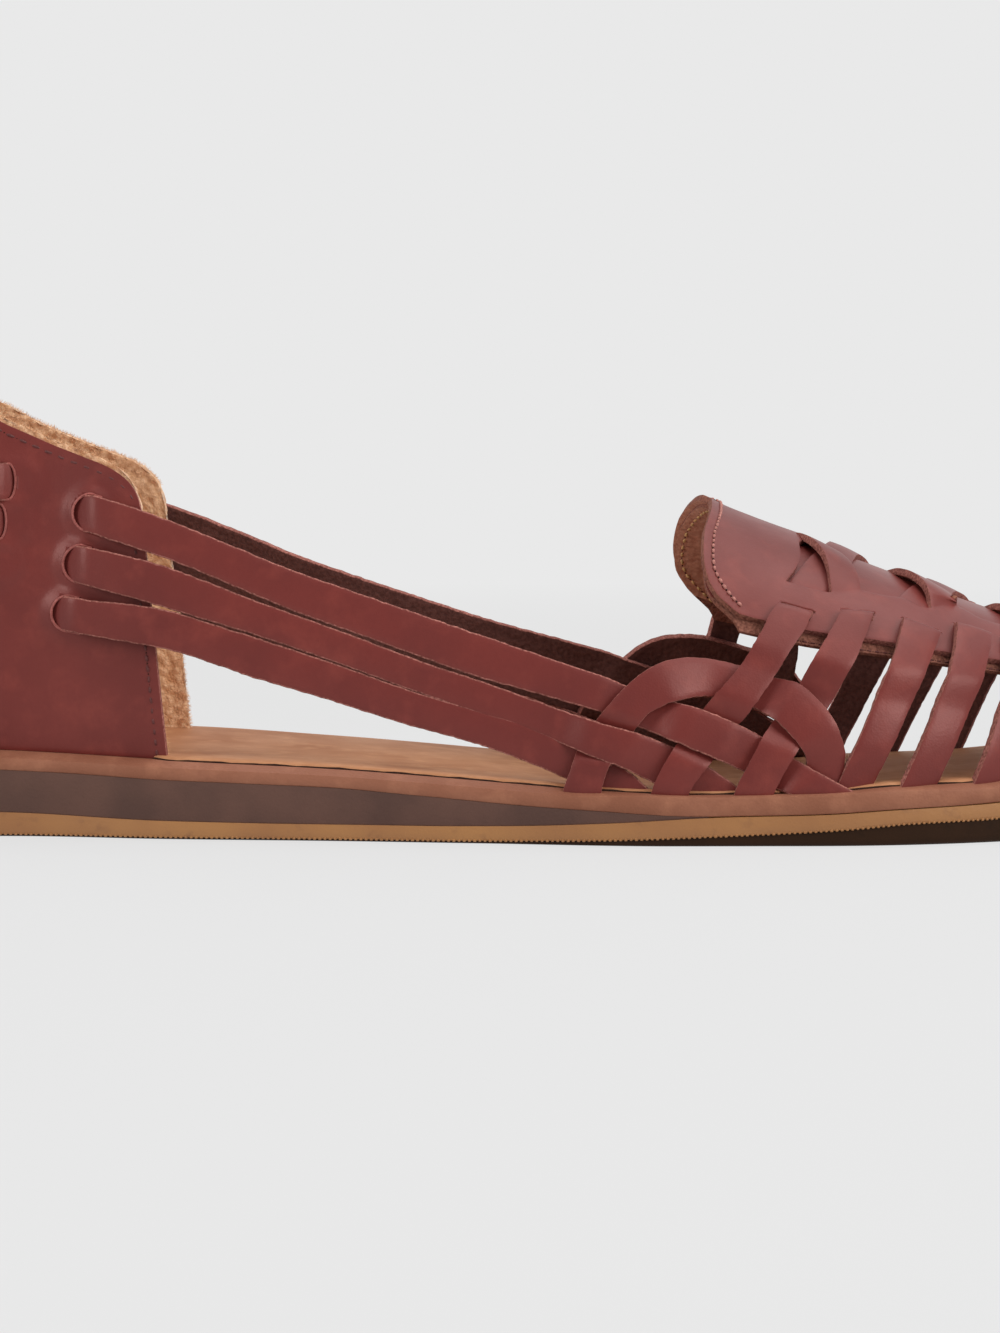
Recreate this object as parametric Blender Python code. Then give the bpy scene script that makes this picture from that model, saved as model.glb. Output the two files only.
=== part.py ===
"""Woven leather huarache flat, right shoe, women's EU 38.

Toe at +X, inner (medial) side at +Y, floor at Z = 0, origin in the middle of the footprint.
The tables hold millimetres, and meshes are made in metres.

Every piece is read from one last. A station says where along the sole's edge a point is: it
equals X along the sides and runs on round the toe and the heel. From the edge a meridian, a
quarter of an ellipse, rises inwards to the spine, the line along the top of the foot. Its rise
goes from 0 at the edge to 1 at the spine. An inset moves a whole surface inwards.
"""

import math

import bmesh
import bpy

MM = 0.001
LATERAL, MEDIAL = -1, 1
GAP = 0.3
QUARTER = math.pi / 2

# Driving dimensions
SHOE_LENGTH = 255.0
BALL_WIDTH = 89.0
HEEL_REACH = 30.0
TOE_REACH = 77.5
TOE_DRIFT = 6.0
HEEL_RUN = 46.0
TOE_RUN = 100.0
HEEL_START = HEEL_REACH - SHOE_LENGTH / 2
TOE_START = SHOE_LENGTH / 2 - TOE_REACH
HEEL_BACK = HEEL_START - HEEL_RUN
TOE_TIP = TOE_START + TOE_RUN
SPINE_END = 98.0
SPINE_Y = 3.0
TOE_FALL = 0.36
HEEL_BELLY = 1.6
BELLY_HEIGHT = 64.0
BELLY_FRONT = -40.0
BELLY_FADE = 50.0
LEDGE = 2.0
STRAP_THICKNESS = 2.0
STRAP_WIDTH = 7.0
COUNTER_THICKNESS = 2.6
COUNTER_INSET = LEDGE + STRAP_THICKNESS + GAP
INSOLE_THICKNESS = 1.6
INSOLE_PROUD = 0.5
WEDGE_TIP = 24.0
APRON_EDGE = 0.385

# Where the cutters end, well outside the upper, and where its shell and its hollow begin
CUT_REACH = 75.0
CUT_OVERLAP = 0.01
CUT_FRONT = 5.0
CUT_BACK = -140.0
CUT_BOTTOM = 4.0
CUT_TOP = 160.0
WINDOW_MARGIN = 5.0
SHELL_START = -92.0
HOLLOW_START = -94.0
HOLLOW_DROP = 6.0

# Mesh steps and tolerances
HEEL_STEPS = 10
SIDE_STEPS = 20
TOE_STEPS = 16
COUNTER_ROWS = 8
WELD = 0.01
SMOOTH_ANGLE = 35.0

# Half widths of the sole: x, lateral, medial
WIDTHS = (
    (HEEL_START, 28.5, 29.5),
    (-67.0, 33.2, 29.5),
    (-37.0, 36.2, 27.6),
    (-12.0, 39.6, 29.0),
    (25.0, BALL_WIDTH / 2, 38.8),
    (TOE_START, BALL_WIDTH / 2, BALL_WIDTH / 2),
)

# Heights of the sole's layers: x, outsole bottom, outsole top, wedge top, rim top
LAYERS = (
    (-127.5, 1.6, 5.4, 13.4, 16.8),
    (-118.0, 0.0, 5.0, 13.0, 16.4),
    (-98.0, 0.0, 4.6, 12.3, 15.6),
    (-68.0, 0.0, 3.5, 10.9, 14.3),
    (-38.0, 0.0, 3.2, 9.8, 13.1),
    (-20.0, 0.0, 3.2, 8.5, 12.0),
    (-6.0, 0.0, 3.4, 7.3, 11.0),
    (12.5, 0.0, 4.2, 6.2, 9.8),
    (31.0, 0.0, 5.3, 5.4, 9.2),
    (51.5, 0.0, 5.8, 5.8, 9.6),
    (66.0, 0.0, 6.6, 6.6, 10.6),
    (84.0, 0.9, 7.3, 7.3, 11.0),
    (127.5, 6.5, 11.0, 11.0, 14.6),
)
OUTSOLE_BOTTOM, OUTSOLE_TOP, WEDGE_TOP, RIM_TOP = 1, 2, 3, 4

# Outsole section from the tread up to the side wall: inset, share of the thickness
OUTSOLE_EDGE = ((3.0, 0.0), (1.0, 0.1), (0.25, 0.3), (0.0, 0.55), (0.0, 1.0))

# Top of the foot: x, height. Behind the throat it only guides the slope of the sides.
SPINE = (
    (HEEL_START, 150.0),
    (-60.0, 122.0),
    (-20.0, 96.0),
    (10.0, 78.0),
    (34.8, 61.9),
    (42.0, 58.8),
    (51.4, 55.4),
    (69.4, 48.8),
    (81.4, 44.2),
    (SPINE_END, 38.6),
    (112.0, 33.5),
)

# Edge of the pocket that the insole lies in: station, inset. Inside the counter it steps in.
POCKET_EDGE = ((-68.0, 7.3), (-62.0, 4.8), (0.0, 4.4))

# Heel counter outline, front to back: bottom station, top station, top height
COUNTER_OUTLINE = (
    (-67.8, -72.2, 59.0),
    (-69.6, -73.0, 62.4),
    (-72.0, -74.6, 65.2),
    (-76.0, -78.2, 67.9),
    (-81.0, -83.0, 69.9),
    (-87.0, -88.0, 71.8),
    (-93.0, -93.6, 74.2),
    (-99.3, -99.3, 76.6),
    (-107.0, -107.0, 79.4),
    (-115.0, -115.0, 81.4),
    (-124.0, -124.0, 82.9),
    (-133.5, -133.5, 83.7),
    (HEEL_BACK, HEEL_BACK, 84.0),
)

# Side view of the throat: down the apron's back edge, then back along the arch strap, as x,
# height and how far forward the same corner lies on the medial side
THROAT = (
    (34.6, 61.6, 0.0),
    (32.0, 56.1, -1.5),
    (31.3, 51.7, -2.0),
    (31.5, 47.9, -2.0),
    (32.4, 45.2, -1.5),
    (34.2, 43.2, -1.0),
    (39.0, 39.9, 0.0),
    (40.8, 37.4, 0.0),
    (37.2, 32.6, 1.5),
    (30.5, 34.0, 4.0),
    (25.5, 33.6, 4.0),
    (21.7, 32.1, 4.0),
    (16.8, 29.0, 3.0),
)

# Side straps, highest first: top edge at the tail, at the counter's front and at the weave, then
# the same three places along the bottom edge, each as x and height.
SIDE_STRAPS = (
    ((-81.5, 63.0), (-65.4, 57.2), (8.0, 31.9), (-81.5, 56.0), (-65.3, 50.2), (8.0, 25.5)),
    ((-83.5, 53.7), (-65.3, 48.9), (8.0, 24.6), (-83.5, 47.0), (-65.2, 41.9), (3.0, 19.6)),
    ((-86.0, 44.3), (-65.2, 40.7), (3.0, 18.9), (-86.0, 38.0), (-64.1, 33.3), (5.0, 12.6)),
)
TAIL_REACH = 3.4

# Straps that run from the sole up to the apron: station at the sole, station at the apron
FAN_STRAPS = (
    (56.5, 67.3),
    (66.8, 77.4),
    (79.0, 88.6),
    (92.0, 99.5),
    (106.0, 111.5),
    (120.5, 124.0),
    (135.0, 136.8),
    (TOE_TIP, TOE_TIP),
)

# Openings in the weave behind the fan: corners as station, rise
WEAVE_OPENINGS = (
    ((50.2, 0.385), (54.2, 0.385), (48.4, 0.290), (45.2, 0.325)),
    ((60.2, 0.385), (63.2, 0.385), (55.6, 0.130), (54.2, 0.160), (52.9, 0.225)),
    ((39.6, 0.195), (42.6, 0.180), (43.6, 0.155), (40.6, 0.145), (37.4, 0.162)),
)

RISES = (0.0, 0.06, 0.12, 0.18, 0.25, 0.32, 0.40, 0.50, 0.60, 0.70, 0.80, 0.90, 1.0)


def smooth(rows, column, x):
    """Value of a table's column at x, on a curve through the rows that never overshoots them."""
    if x <= rows[0][0]:
        return rows[0][column]
    if x >= rows[-1][0]:
        return rows[-1][column]
    slopes = [(b[column] - a[column]) / (b[0] - a[0]) for a, b in zip(rows, rows[1:])]
    tangents = [0.0]
    for before, after in zip(slopes, slopes[1:]):
        flat = before * after <= 0
        tangents.append(0.0 if flat else 2 * before * after / (before + after))
    tangents.append(0.0)
    index = max(i for i, row in enumerate(rows[:-1]) if row[0] <= x)
    step = rows[index + 1][0] - rows[index][0]
    u = (x - rows[index][0]) / step
    start = (1 + 2 * u) * (1 - u) ** 2 * rows[index][column]
    leave = u * (1 - u) ** 2 * step * tangents[index]
    end = u * u * (3 - 2 * u) * rows[index + 1][column]
    arrive = u * u * (u - 1) * step * tangents[index + 1]
    return start + leave + end + arrive


def turn(station):
    """How far the edge has turned round the toe or the heel at a station, 0 to a right angle."""
    if station > TOE_START:
        return QUARTER * (station - TOE_START) / TOE_RUN
    if station < HEEL_START:
        return QUARTER * (HEEL_START - station) / HEEL_RUN
    return 0.0


def outline(side, station, inset=0.0):
    """Plan point of the sole's edge, moved inwards by inset."""
    column = 1 if side == LATERAL else 2
    angle = turn(station)
    half_width = smooth(WIDTHS, column, station) - inset
    y = side * half_width * math.cos(angle)
    if station > TOE_START:
        x = TOE_START + (TOE_REACH - inset) * math.sin(angle)
        return x, y + TOE_DRIFT * math.sin(angle) ** 2
    if station < HEEL_START:
        return HEEL_START - (HEEL_REACH - inset) * math.sin(angle), y
    return station, y


def spine_x(station):
    if station > TOE_START:
        return TOE_START + (SPINE_END - TOE_START) * math.sin(turn(station))
    return max(station, HEEL_START)


def belly(station, height):
    """Share of the way to the spine by which the heel swells outwards."""
    fade = min(1.0, max(0.0, (BELLY_FRONT - station) / BELLY_FADE))
    swell = math.sin(math.pi * min(1.0, max(0.0, height / BELLY_HEIGHT)))
    return HEEL_BELLY / HEEL_REACH * fade * swell


def skin(side, station, rise, inset=LEDGE):
    """Point of the last's surface at a station and a rise."""
    x, y = outline(side, station, inset)
    base = smooth(LAYERS, RIM_TOP, x) + GAP
    top = smooth(SPINE, 1, spine_x(station)) - inset + LEDGE
    height = (top - base) * math.sin(rise * QUARTER)
    outward = math.cos(rise * QUARTER)
    height -= TOE_FALL * max(0.0, x - spine_x(station)) * outward * (1 - outward)
    inward = 1 - outward - belly(station, height)
    return (
        x + (spine_x(station) - x) * inward,
        y + (SPINE_Y - y) * inward,
        base + height,
    )


def rise_at(side, station, z, inset=LEDGE):
    """Rise at which a meridian reaches a height."""
    x, _ = outline(side, station, inset)
    base = smooth(LAYERS, RIM_TOP, x) + GAP
    top = smooth(SPINE, 1, spine_x(station)) - inset + LEDGE
    return math.asin((z - base) / (top - base)) / QUARTER


def station_beside(side, station, rise, distance):
    """Station that lies a distance along the surface from another, at the same rise."""
    here = skin(side, station, rise)
    near = skin(side, station - 1.0, rise)
    return station + distance / math.dist(here, near)


def spread(first, last, count):
    """Evenly spaced values from first to last."""
    return [first + (last - first) * i / count for i in range(count + 1)]


def make_material(name, colour, roughness):
    material = bpy.data.materials.new(name)
    material.use_nodes = True
    shader = material.node_tree.nodes["Principled BSDF"]
    shader.inputs["Base Color"].default_value = (*colour, 1.0)
    shader.inputs["Roughness"].default_value = roughness
    material.diffuse_color = (*colour, 1.0)
    return material


def make_object(name, points, faces, material=None):
    """Object from points in millimetres, with coincident points merged and faces turned out."""
    mesh = bpy.data.meshes.new(name)
    mesh.from_pydata([[c * MM for c in point] for point in points], [], faces)
    shape = bmesh.new()
    shape.from_mesh(mesh)
    bmesh.ops.remove_doubles(shape, verts=shape.verts, dist=WELD * MM)
    bmesh.ops.triangulate(shape, faces=[f for f in shape.faces if len(f.verts) > 4])
    bmesh.ops.recalc_face_normals(shape, faces=shape.faces)
    shape.to_mesh(mesh)
    shape.free()
    obj = bpy.data.objects.new(name, mesh)
    bpy.context.scene.collection.objects.link(obj)
    if material:
        mesh.materials.append(material)
        mesh.shade_smooth()
        mesh.set_sharp_from_angle(angle=math.radians(SMOOTH_ANGLE))
    return obj


def make_cutter(name, points, faces):
    obj = make_object(name, points, faces)
    obj.hide_render = True
    obj.display_type = "WIRE"
    return obj


def cut(obj, cutter):
    modifier = obj.modifiers.new(cutter.name, "BOOLEAN")
    modifier.operation = "DIFFERENCE"
    modifier.solver = "EXACT"
    modifier.object = cutter


def band(first, second, length):
    """Quads between two closed loops of points, given by their first index."""
    loop = [(i, (i + 1) % length) for i in range(length)]
    return [(first + a, first + b, second + b, second + a) for a, b in loop]


def layer(name, stations, rings, material):
    """A sole layer. Each ring is an inset function of the station and a height function of x."""
    points = []
    faces = []
    count = len(stations)
    for inset, height in rings:
        lateral = [outline(LATERAL, s, inset(s)) for s in stations]
        medial = [outline(MEDIAL, s, inset(s)) for s in reversed(stations)]
        points += [(x, y, height(x)) for x, y in lateral + medial]
    loop = 2 * count
    for index in range(len(rings) - 1):
        faces += band(index * loop, (index + 1) * loop, loop)
    for start in (0, (len(rings) - 1) * loop):
        for i in range(count - 1):
            faces.append((start + i, start + i + 1, start + loop - 2 - i, start + loop - 1 - i))
    return make_object(name, points, faces, material)


def constant(value):
    return lambda _: value


def height_of(column, lift=0.0):
    return lambda x: smooth(LAYERS, column, x) + lift


def make_outsole(stations, material):
    def share(part):
        def height(x):
            bottom = smooth(LAYERS, OUTSOLE_BOTTOM, x)
            return bottom + part * (smooth(LAYERS, OUTSOLE_TOP, x) - bottom)

        return height

    rings = [(constant(inset), share(part)) for inset, part in OUTSOLE_EDGE]
    return layer("outsole", stations, rings, material)


def make_wedge(stations, material):
    stations = [s for s in stations if s < WEDGE_TIP] + [WEDGE_TIP]
    rings = (
        (constant(0.0), height_of(OUTSOLE_TOP, GAP)),
        (constant(0.0), height_of(WEDGE_TOP)),
    )
    return layer("midsole_wedge", stations, rings, material)


def pocket_inset(station):
    return smooth(POCKET_EDGE, 1, station)


def make_midsole(stations, material):
    """Leather midsole with a shallow pocket for the insole."""
    depth = INSOLE_THICKNESS - INSOLE_PROUD + GAP
    rings = (
        (constant(0.0), lambda x: max(height_of(WEDGE_TOP)(x), height_of(OUTSOLE_TOP)(x)) + GAP),
        (constant(0.0), height_of(RIM_TOP)),
        (pocket_inset, height_of(RIM_TOP)),
        (pocket_inset, height_of(RIM_TOP, -depth)),
    )
    return layer("midsole_leather", stations, rings, material)


def make_insole(stations, material):
    def inset(station):
        return pocket_inset(station) + GAP

    rings = (
        (inset, height_of(RIM_TOP, INSOLE_PROUD - INSOLE_THICKNESS)),
        (inset, height_of(RIM_TOP, INSOLE_PROUD)),
    )
    return layer("insole", stations, rings, material)


def make_counter(material):
    """Heel counter: one bent wall from the lateral front edge round the back to the medial."""
    rows = COUNTER_ROWS
    columns = [(LATERAL, *row) for row in COUNTER_OUTLINE]
    columns += [(MEDIAL, *row) for row in reversed(COUNTER_OUTLINE[:-1])]
    points = []
    faces = []
    for inset in (COUNTER_INSET, COUNTER_INSET + COUNTER_THICKNESS):
        for side, bottom, top, height in columns:
            for u in spread(0.0, 1.0, rows):
                station = bottom + (top - bottom) * u
                base = skin(side, station, 0.0, inset)[2]
                rise = rise_at(side, station, base + (height - base) * u, inset)
                points.append(skin(side, station, rise, inset))
    high = rows + 1
    wide = len(columns)
    other = high * wide
    for i in range(wide - 1):
        for j in range(rows):
            a, b, c, d = (i * high + j, (i + 1) * high + j, (i + 1) * high + j + 1, i * high + j + 1)
            faces.append((a, b, c, d))
            faces.append((d + other, c + other, b + other, a + other))
    rim = [i * high for i in range(wide)]
    rim += [(wide - 1) * high + j for j in range(1, high)]
    rim += [i * high + rows for i in range(wide - 2, -1, -1)]
    rim += [j for j in range(rows - 1, 0, -1)]
    for a, b in zip(rim, rim[1:] + rim[:1]):
        faces.append((b, a, a + other, b + other))
    return make_object("heel_counter", points, faces, material)


def dome(start, inset, drop):
    """The closed last from a start station to the toe tip, its bottom lowered by drop."""
    stations = spread(start, TOE_START, SIDE_STEPS)
    stations += spread(TOE_START, TOE_TIP, TOE_STEPS)[1:]
    points = []
    for station in stations:
        lateral = [skin(LATERAL, station, rise, inset) for rise in RISES]
        medial = [skin(MEDIAL, station, rise, inset) for rise in reversed(RISES[:-1])]
        section = lateral + medial
        for end in (0, -1):
            x, y, z = section[end]
            section[end] = (x, y, z - drop)
        points += section
    length = 2 * len(RISES) - 1
    faces = [tuple(range(length))]
    for i in range(len(stations) - 1):
        here = i * length
        there = here + length
        faces += band(here, there, length)
    return points, faces


def prism(corners, start, end):
    """Side-view outline pushed across the shoe from y = start to y = end."""
    count = len(corners)
    points = [(x, y, z) for y in (start, end) for x, z in corners]
    faces = [tuple(range(count)), tuple(range(2 * count - 1, count - 1, -1))]
    return points, faces + band(0, count, count)


def throat_outline(side):
    """Everything above and behind the upper, with a slot between each two side straps."""
    corners = [(x + (shift if side == MEDIAL else 0.0), z) for x, z, shift in THROAT]
    for strap in SIDE_STRAPS:
        top_tail, top_counter, top_weave, bottom_tail, bottom_counter, bottom_weave = strap
        corners += [top_weave, top_counter, top_tail]
        middle = (top_tail[1] + bottom_tail[1]) / 2
        half = (top_tail[1] - bottom_tail[1]) / 2
        for angle in (45, 0, -45):
            reach = TAIL_REACH * math.cos(math.radians(angle))
            rise = half * math.sin(math.radians(angle))
            corners.append((top_tail[0] - reach, middle + rise))
        corners += [bottom_tail, bottom_counter, bottom_weave]
    corners += [(CUT_FRONT, CUT_BOTTOM), (CUT_BACK, CUT_BOTTOM)]
    return corners + [(CUT_BACK, CUT_TOP), (THROAT[0][0], CUT_TOP)]


def panel(side, corners, depth):
    """Closed block through the wall, from corners given as station and rise."""
    count = len(corners)
    points = []
    for inset in (LEDGE - depth, LEDGE + STRAP_THICKNESS + depth):
        points += [skin(side, station, rise, inset) for station, rise in corners]
    faces = [tuple(range(count)), tuple(range(2 * count - 1, count - 1, -1))]
    return points, faces + band(0, count, count)


def fan_opening(side, left, right):
    """Corners of the opening between two straps of the fan, straight down past the sole."""

    def edge(strap, rise, offset):
        station = strap[0] + (strap[1] - strap[0]) * rise / APRON_EDGE
        return station_beside(side, station, max(rise, 0.0), offset), rise

    rises = (-0.04, 0.09, 0.19, 0.29, APRON_EDGE)
    up = [edge(left, rise, STRAP_WIDTH / 2) for rise in rises]
    down = [edge(right, rise, -STRAP_WIDTH / 2) for rise in reversed(rises)]
    return up + down


def window_blocks():
    """All openings in the weave and the fan, on both sides, as one set of separate blocks."""
    points = []
    faces = []
    for side in (LATERAL, MEDIAL):
        openings = list(WEAVE_OPENINGS)
        for left, right in zip(FAN_STRAPS, FAN_STRAPS[1:]):
            openings.append(fan_opening(side, left, right))
        for corners in openings:
            block, block_faces = panel(side, corners, WINDOW_MARGIN)
            first = len(points)
            points += block
            faces += [tuple(first + i for i in face) for face in block_faces]
    return points, faces


def make_upper(material):
    """Hollow upper: the last's shell with the throat, the slots and the openings cut out."""
    upper = make_object("upper", *dome(SHELL_START, LEDGE, 0.0), material)
    hollow = dome(HOLLOW_START, LEDGE + STRAP_THICKNESS, HOLLOW_DROP)
    cut(upper, make_cutter("cut_hollow", *hollow))
    for side, name in ((LATERAL, "cut_lateral_throat"), (MEDIAL, "cut_medial_throat")):
        start = SPINE_Y - side * CUT_OVERLAP
        cut(upper, make_cutter(name, *prism(throat_outline(side), start, side * CUT_REACH)))
    cut(upper, make_cutter("cut_windows", *window_blocks()))
    return upper


def main():
    for obj in list(bpy.data.objects):
        bpy.data.objects.remove(obj)
    gum = make_material("gum_rubber", (0.35, 0.16, 0.055), 0.55)
    wedge = make_material("midsole_foam", (0.09, 0.042, 0.035), 0.6)
    rim = make_material("midsole_leather", (0.28, 0.12, 0.085), 0.55)
    tan = make_material("insole_leather", (0.48, 0.25, 0.13), 0.5)
    brown = make_material("red_brown_leather", (0.2, 0.055, 0.05), 0.4)
    stations = spread(HEEL_BACK, HEEL_START, HEEL_STEPS)
    stations += spread(HEEL_START, TOE_START, SIDE_STEPS)[1:]
    stations += spread(TOE_START, TOE_TIP, TOE_STEPS)[1:]
    make_outsole(stations, gum)
    make_wedge(stations, wedge)
    make_midsole(stations, rim)
    make_insole(stations, tan)
    make_counter(brown)
    make_upper(brown)


main()
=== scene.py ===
# %% [markdown]
# # A woven leather huarache flat
# This script dresses one right shoe: a rubber sole with a foam wedge, a leather rim, a footbed,
# a stiff heel counter lined with suede, and a vamp of straps woven by hand under a slit apron.
# Every piece is drawn from one last, the wooden foot that a shoemaker works over, so that straps,
# counter and apron all lie on the same skin and can pass over and under each other.
# Lengths are in millimetres until a mesh is made.

# %% Load the frame
import bisect
import math

import bpy
import numpy as np
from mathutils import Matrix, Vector, noise


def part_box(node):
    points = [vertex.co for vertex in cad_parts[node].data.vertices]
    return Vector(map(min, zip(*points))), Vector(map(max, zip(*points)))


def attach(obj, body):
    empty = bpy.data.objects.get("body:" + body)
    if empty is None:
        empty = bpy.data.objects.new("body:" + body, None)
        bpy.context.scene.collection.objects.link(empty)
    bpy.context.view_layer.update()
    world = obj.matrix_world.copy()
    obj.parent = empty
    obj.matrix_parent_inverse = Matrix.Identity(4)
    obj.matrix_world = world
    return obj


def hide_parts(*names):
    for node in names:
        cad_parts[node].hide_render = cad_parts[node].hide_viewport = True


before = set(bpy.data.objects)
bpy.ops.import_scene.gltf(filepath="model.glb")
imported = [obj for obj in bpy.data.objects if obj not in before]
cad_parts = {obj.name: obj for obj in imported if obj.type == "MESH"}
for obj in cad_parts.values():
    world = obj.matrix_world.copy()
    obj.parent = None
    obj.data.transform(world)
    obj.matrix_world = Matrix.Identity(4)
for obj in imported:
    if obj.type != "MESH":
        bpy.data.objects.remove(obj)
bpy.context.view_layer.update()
MM = 0.001
print("frame nodes:", sorted(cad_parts))

# %% [markdown]
# ## The last
# A last can be scanned, sculpted or written down. Here it is written down as four short tables:
# half widths of the sole, heights of the sole's layers, the line along the top of the foot, and
# the heel counter's outline. A station says where along the sole's edge a point is. It equals X
# along the sides and runs on round the toe and the heel. Across the foot a point is named by v,
# which is -1 at the outer edge, 0 on the ridge and 1 at the inner edge.

# %% Sizes of the last
LATERAL, MEDIAL = -1, 1
QUARTER = math.pi / 2
GAP = 0.3
low_corner, high_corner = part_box("outsole")
SHOE_LENGTH = (high_corner.x - low_corner.x) / MM
BALL_WIDTH = (high_corner.y - low_corner.y) / MM
HEEL_REACH = 30.0
TOE_REACH = 77.5
TOE_DRIFT = 6.0
HEEL_RUN = 46.0
TOE_RUN = 100.0
HEEL_START = HEEL_REACH - SHOE_LENGTH / 2
TOE_START = SHOE_LENGTH / 2 - TOE_REACH
HEEL_BACK = HEEL_START - HEEL_RUN
TOE_TIP = TOE_START + TOE_RUN
SPINE_END = 98.0
SPINE_Y = 3.0
TOE_FALL = 0.36
HEEL_BELLY = 1.6
BELLY_HEIGHT = 64.0
BELLY_START = -40.0
BELLY_RUN = 50.0
LEDGE = 2.0
COUNTER_INSET = 4.3

# x, lateral half width, medial half width
WIDTHS = (
    (HEEL_START, 28.5, 29.5), (-67.0, 33.2, 29.5), (-37.0, 36.2, 27.6), (-12.0, 39.6, 29.0),
    (25.0, BALL_WIDTH / 2, 38.8), (TOE_START, BALL_WIDTH / 2, BALL_WIDTH / 2),
)
# x, outsole bottom, outsole top, wedge top, rim top
LAYERS = (
    (-127.5, 1.6, 5.4, 13.4, 16.8),
    (-118.0, 0.0, 5.0, 13.0, 16.4),
    (-98.0, 0.0, 4.6, 12.3, 15.6),
    (-68.0, 0.0, 3.5, 10.9, 14.3),
    (-38.0, 0.0, 3.2, 9.8, 13.1),
    (-20.0, 0.0, 3.2, 8.5, 12.0),
    (-6.0, 0.0, 3.4, 7.3, 11.0),
    (12.5, 0.0, 4.2, 6.2, 9.8),
    (31.0, 0.0, 5.3, 5.4, 9.2),
    (51.5, 0.0, 5.8, 5.8, 9.6),
    (66.0, 0.0, 6.6, 6.6, 10.6),
    (84.0, 0.9, 7.3, 7.3, 11.0),
    (127.5, 6.5, 11.0, 11.0, 14.6),
)
# x, and how far the sole's inner edge lies below its outer one: the last is twisted, so that the
# inner side is high at the heel and low at the ball
TWIST = ((-68.0, -0.6), (-40.0, 0.3), (-12.0, 1.4), (25.0, 2.8), (50.0, 3.3), (127.5, 2.0))
# x, height of the ridge. Behind the throat it only guides the slope of the sides.
SPINE = (
    (HEEL_START, 150.0), (-60.0, 122.0), (-20.0, 96.0), (10.0, 78.0), (34.8, 61.9),
    (42.0, 58.8), (51.4, 55.4), (69.4, 48.8), (81.4, 44.2), (SPINE_END, 38.6),
    (112.0, 33.5),
)
# bottom station, top station, top height, from the heel's back to the counter's front edge
COUNTER_OUTLINE = (
    (HEEL_BACK, HEEL_BACK, 84.0), (-133.5, -133.5, 83.7), (-124.0, -124.0, 82.9),
    (-115.0, -115.0, 81.4), (-107.0, -107.0, 79.4), (-99.3, -99.3, 76.6),
    (-93.0, -93.6, 74.2), (-87.0, -88.0, 71.8), (-81.0, -83.0, 69.9), (-76.0, -78.2, 67.9),
    (-72.0, -74.6, 65.2), (-69.6, -73.0, 62.4), (-67.8, -72.2, 59.0),
)
print(f"last: {SHOE_LENGTH:.1f} mm long, {BALL_WIDTH:.1f} mm wide at the ball")


# %% Functions of the last
def curve_through(rows, column):
    """A function of the first column that passes through the rows and never overshoots them."""
    xs = [row[0] for row in rows]
    ys = [row[column] for row in rows]
    slopes = [(y1 - y0) / (x1 - x0) for x0, x1, y0, y1 in zip(xs, xs[1:], ys, ys[1:])]
    tangents = [0.0]
    for before, after in zip(slopes, slopes[1:]):
        flat = before * after <= 0
        tangents.append(0.0 if flat else 2 * before * after / (before + after))
    tangents.append(0.0)

    def value(x):
        if x <= xs[0]:
            return ys[0]
        if x >= xs[-1]:
            return ys[-1]
        i = bisect.bisect_right(xs, x) - 1
        step = xs[i + 1] - xs[i]
        u = (x - xs[i]) / step
        start = (1 + 2 * u) * (1 - u) ** 2 * ys[i] + u * (1 - u) ** 2 * step * tangents[i]
        return start + u * u * (3 - 2 * u) * ys[i + 1] + u * u * (u - 1) * step * tangents[i + 1]

    return value


half_width = {LATERAL: curve_through(WIDTHS, 1), MEDIAL: curve_through(WIDTHS, 2)}
outsole_bottom, outsole_top, wedge_top, rim_top = (curve_through(LAYERS, i) for i in (1, 2, 3, 4))
ridge_height = curve_through(SPINE, 1)
twist = curve_through(TWIST, 1)


def clamp(u):
    return min(1.0, max(0.0, u))


def twisted(height, x, y):
    """Height of a layer of the sole at this place, from its height at the outer edge."""
    across = clamp(0.5 + y / BALL_WIDTH)
    return height * (1 - twist(x) * across * across / rim_top(x))


def turn(station):
    """How far the edge has turned round the toe or the heel, 0 to a right angle."""
    if station > TOE_START:
        return QUARTER * (station - TOE_START) / TOE_RUN
    if station < HEEL_START:
        return QUARTER * (HEEL_START - station) / HEEL_RUN
    return 0.0


def outline(side, station, inset):
    """Plan point of the sole's edge, moved inwards by inset."""
    angle = turn(station)
    y = side * (half_width[side](station) - inset) * math.cos(angle)
    if station > TOE_START:
        x = TOE_START + (TOE_REACH - inset) * math.sin(angle)
        return x, y + TOE_DRIFT * math.sin(angle) ** 2
    if station < HEEL_START:
        return HEEL_START - (HEEL_REACH - inset) * math.sin(angle), y
    return station, y


def spine_x(station):
    """X of the ridge's point that this station's meridian rises to."""
    if station > TOE_START:
        return TOE_START + (SPINE_END - TOE_START) * math.sin(turn(station))
    return max(station, HEEL_START)


def belly(station, height):
    """Share of the way to the spine by which the heel swells outwards."""
    fade = clamp((BELLY_START - station) / BELLY_RUN)
    return HEEL_BELLY / HEEL_REACH * fade * math.sin(math.pi * clamp(height / BELLY_HEIGHT))


def skin(station, v, inset=LEDGE):
    """Point on the last's skin, in millimetres. A smaller inset lies further out."""
    side = LATERAL if v < 0 else MEDIAL
    rise = (1 - abs(v)) * QUARTER
    x, y = outline(side, station, inset)
    base = twisted(rim_top(x), x, y) + GAP
    top = ridge_height(spine_x(station)) - inset + LEDGE
    height = (top - base) * math.sin(rise)
    outward = math.cos(rise)
    height -= TOE_FALL * max(0.0, x - spine_x(station)) * outward * (1 - outward)
    inward = 1 - outward - belly(station, height)
    return (x + (spine_x(station) - x) * inward, y + (SPINE_Y - y) * inward, base + height)


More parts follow.
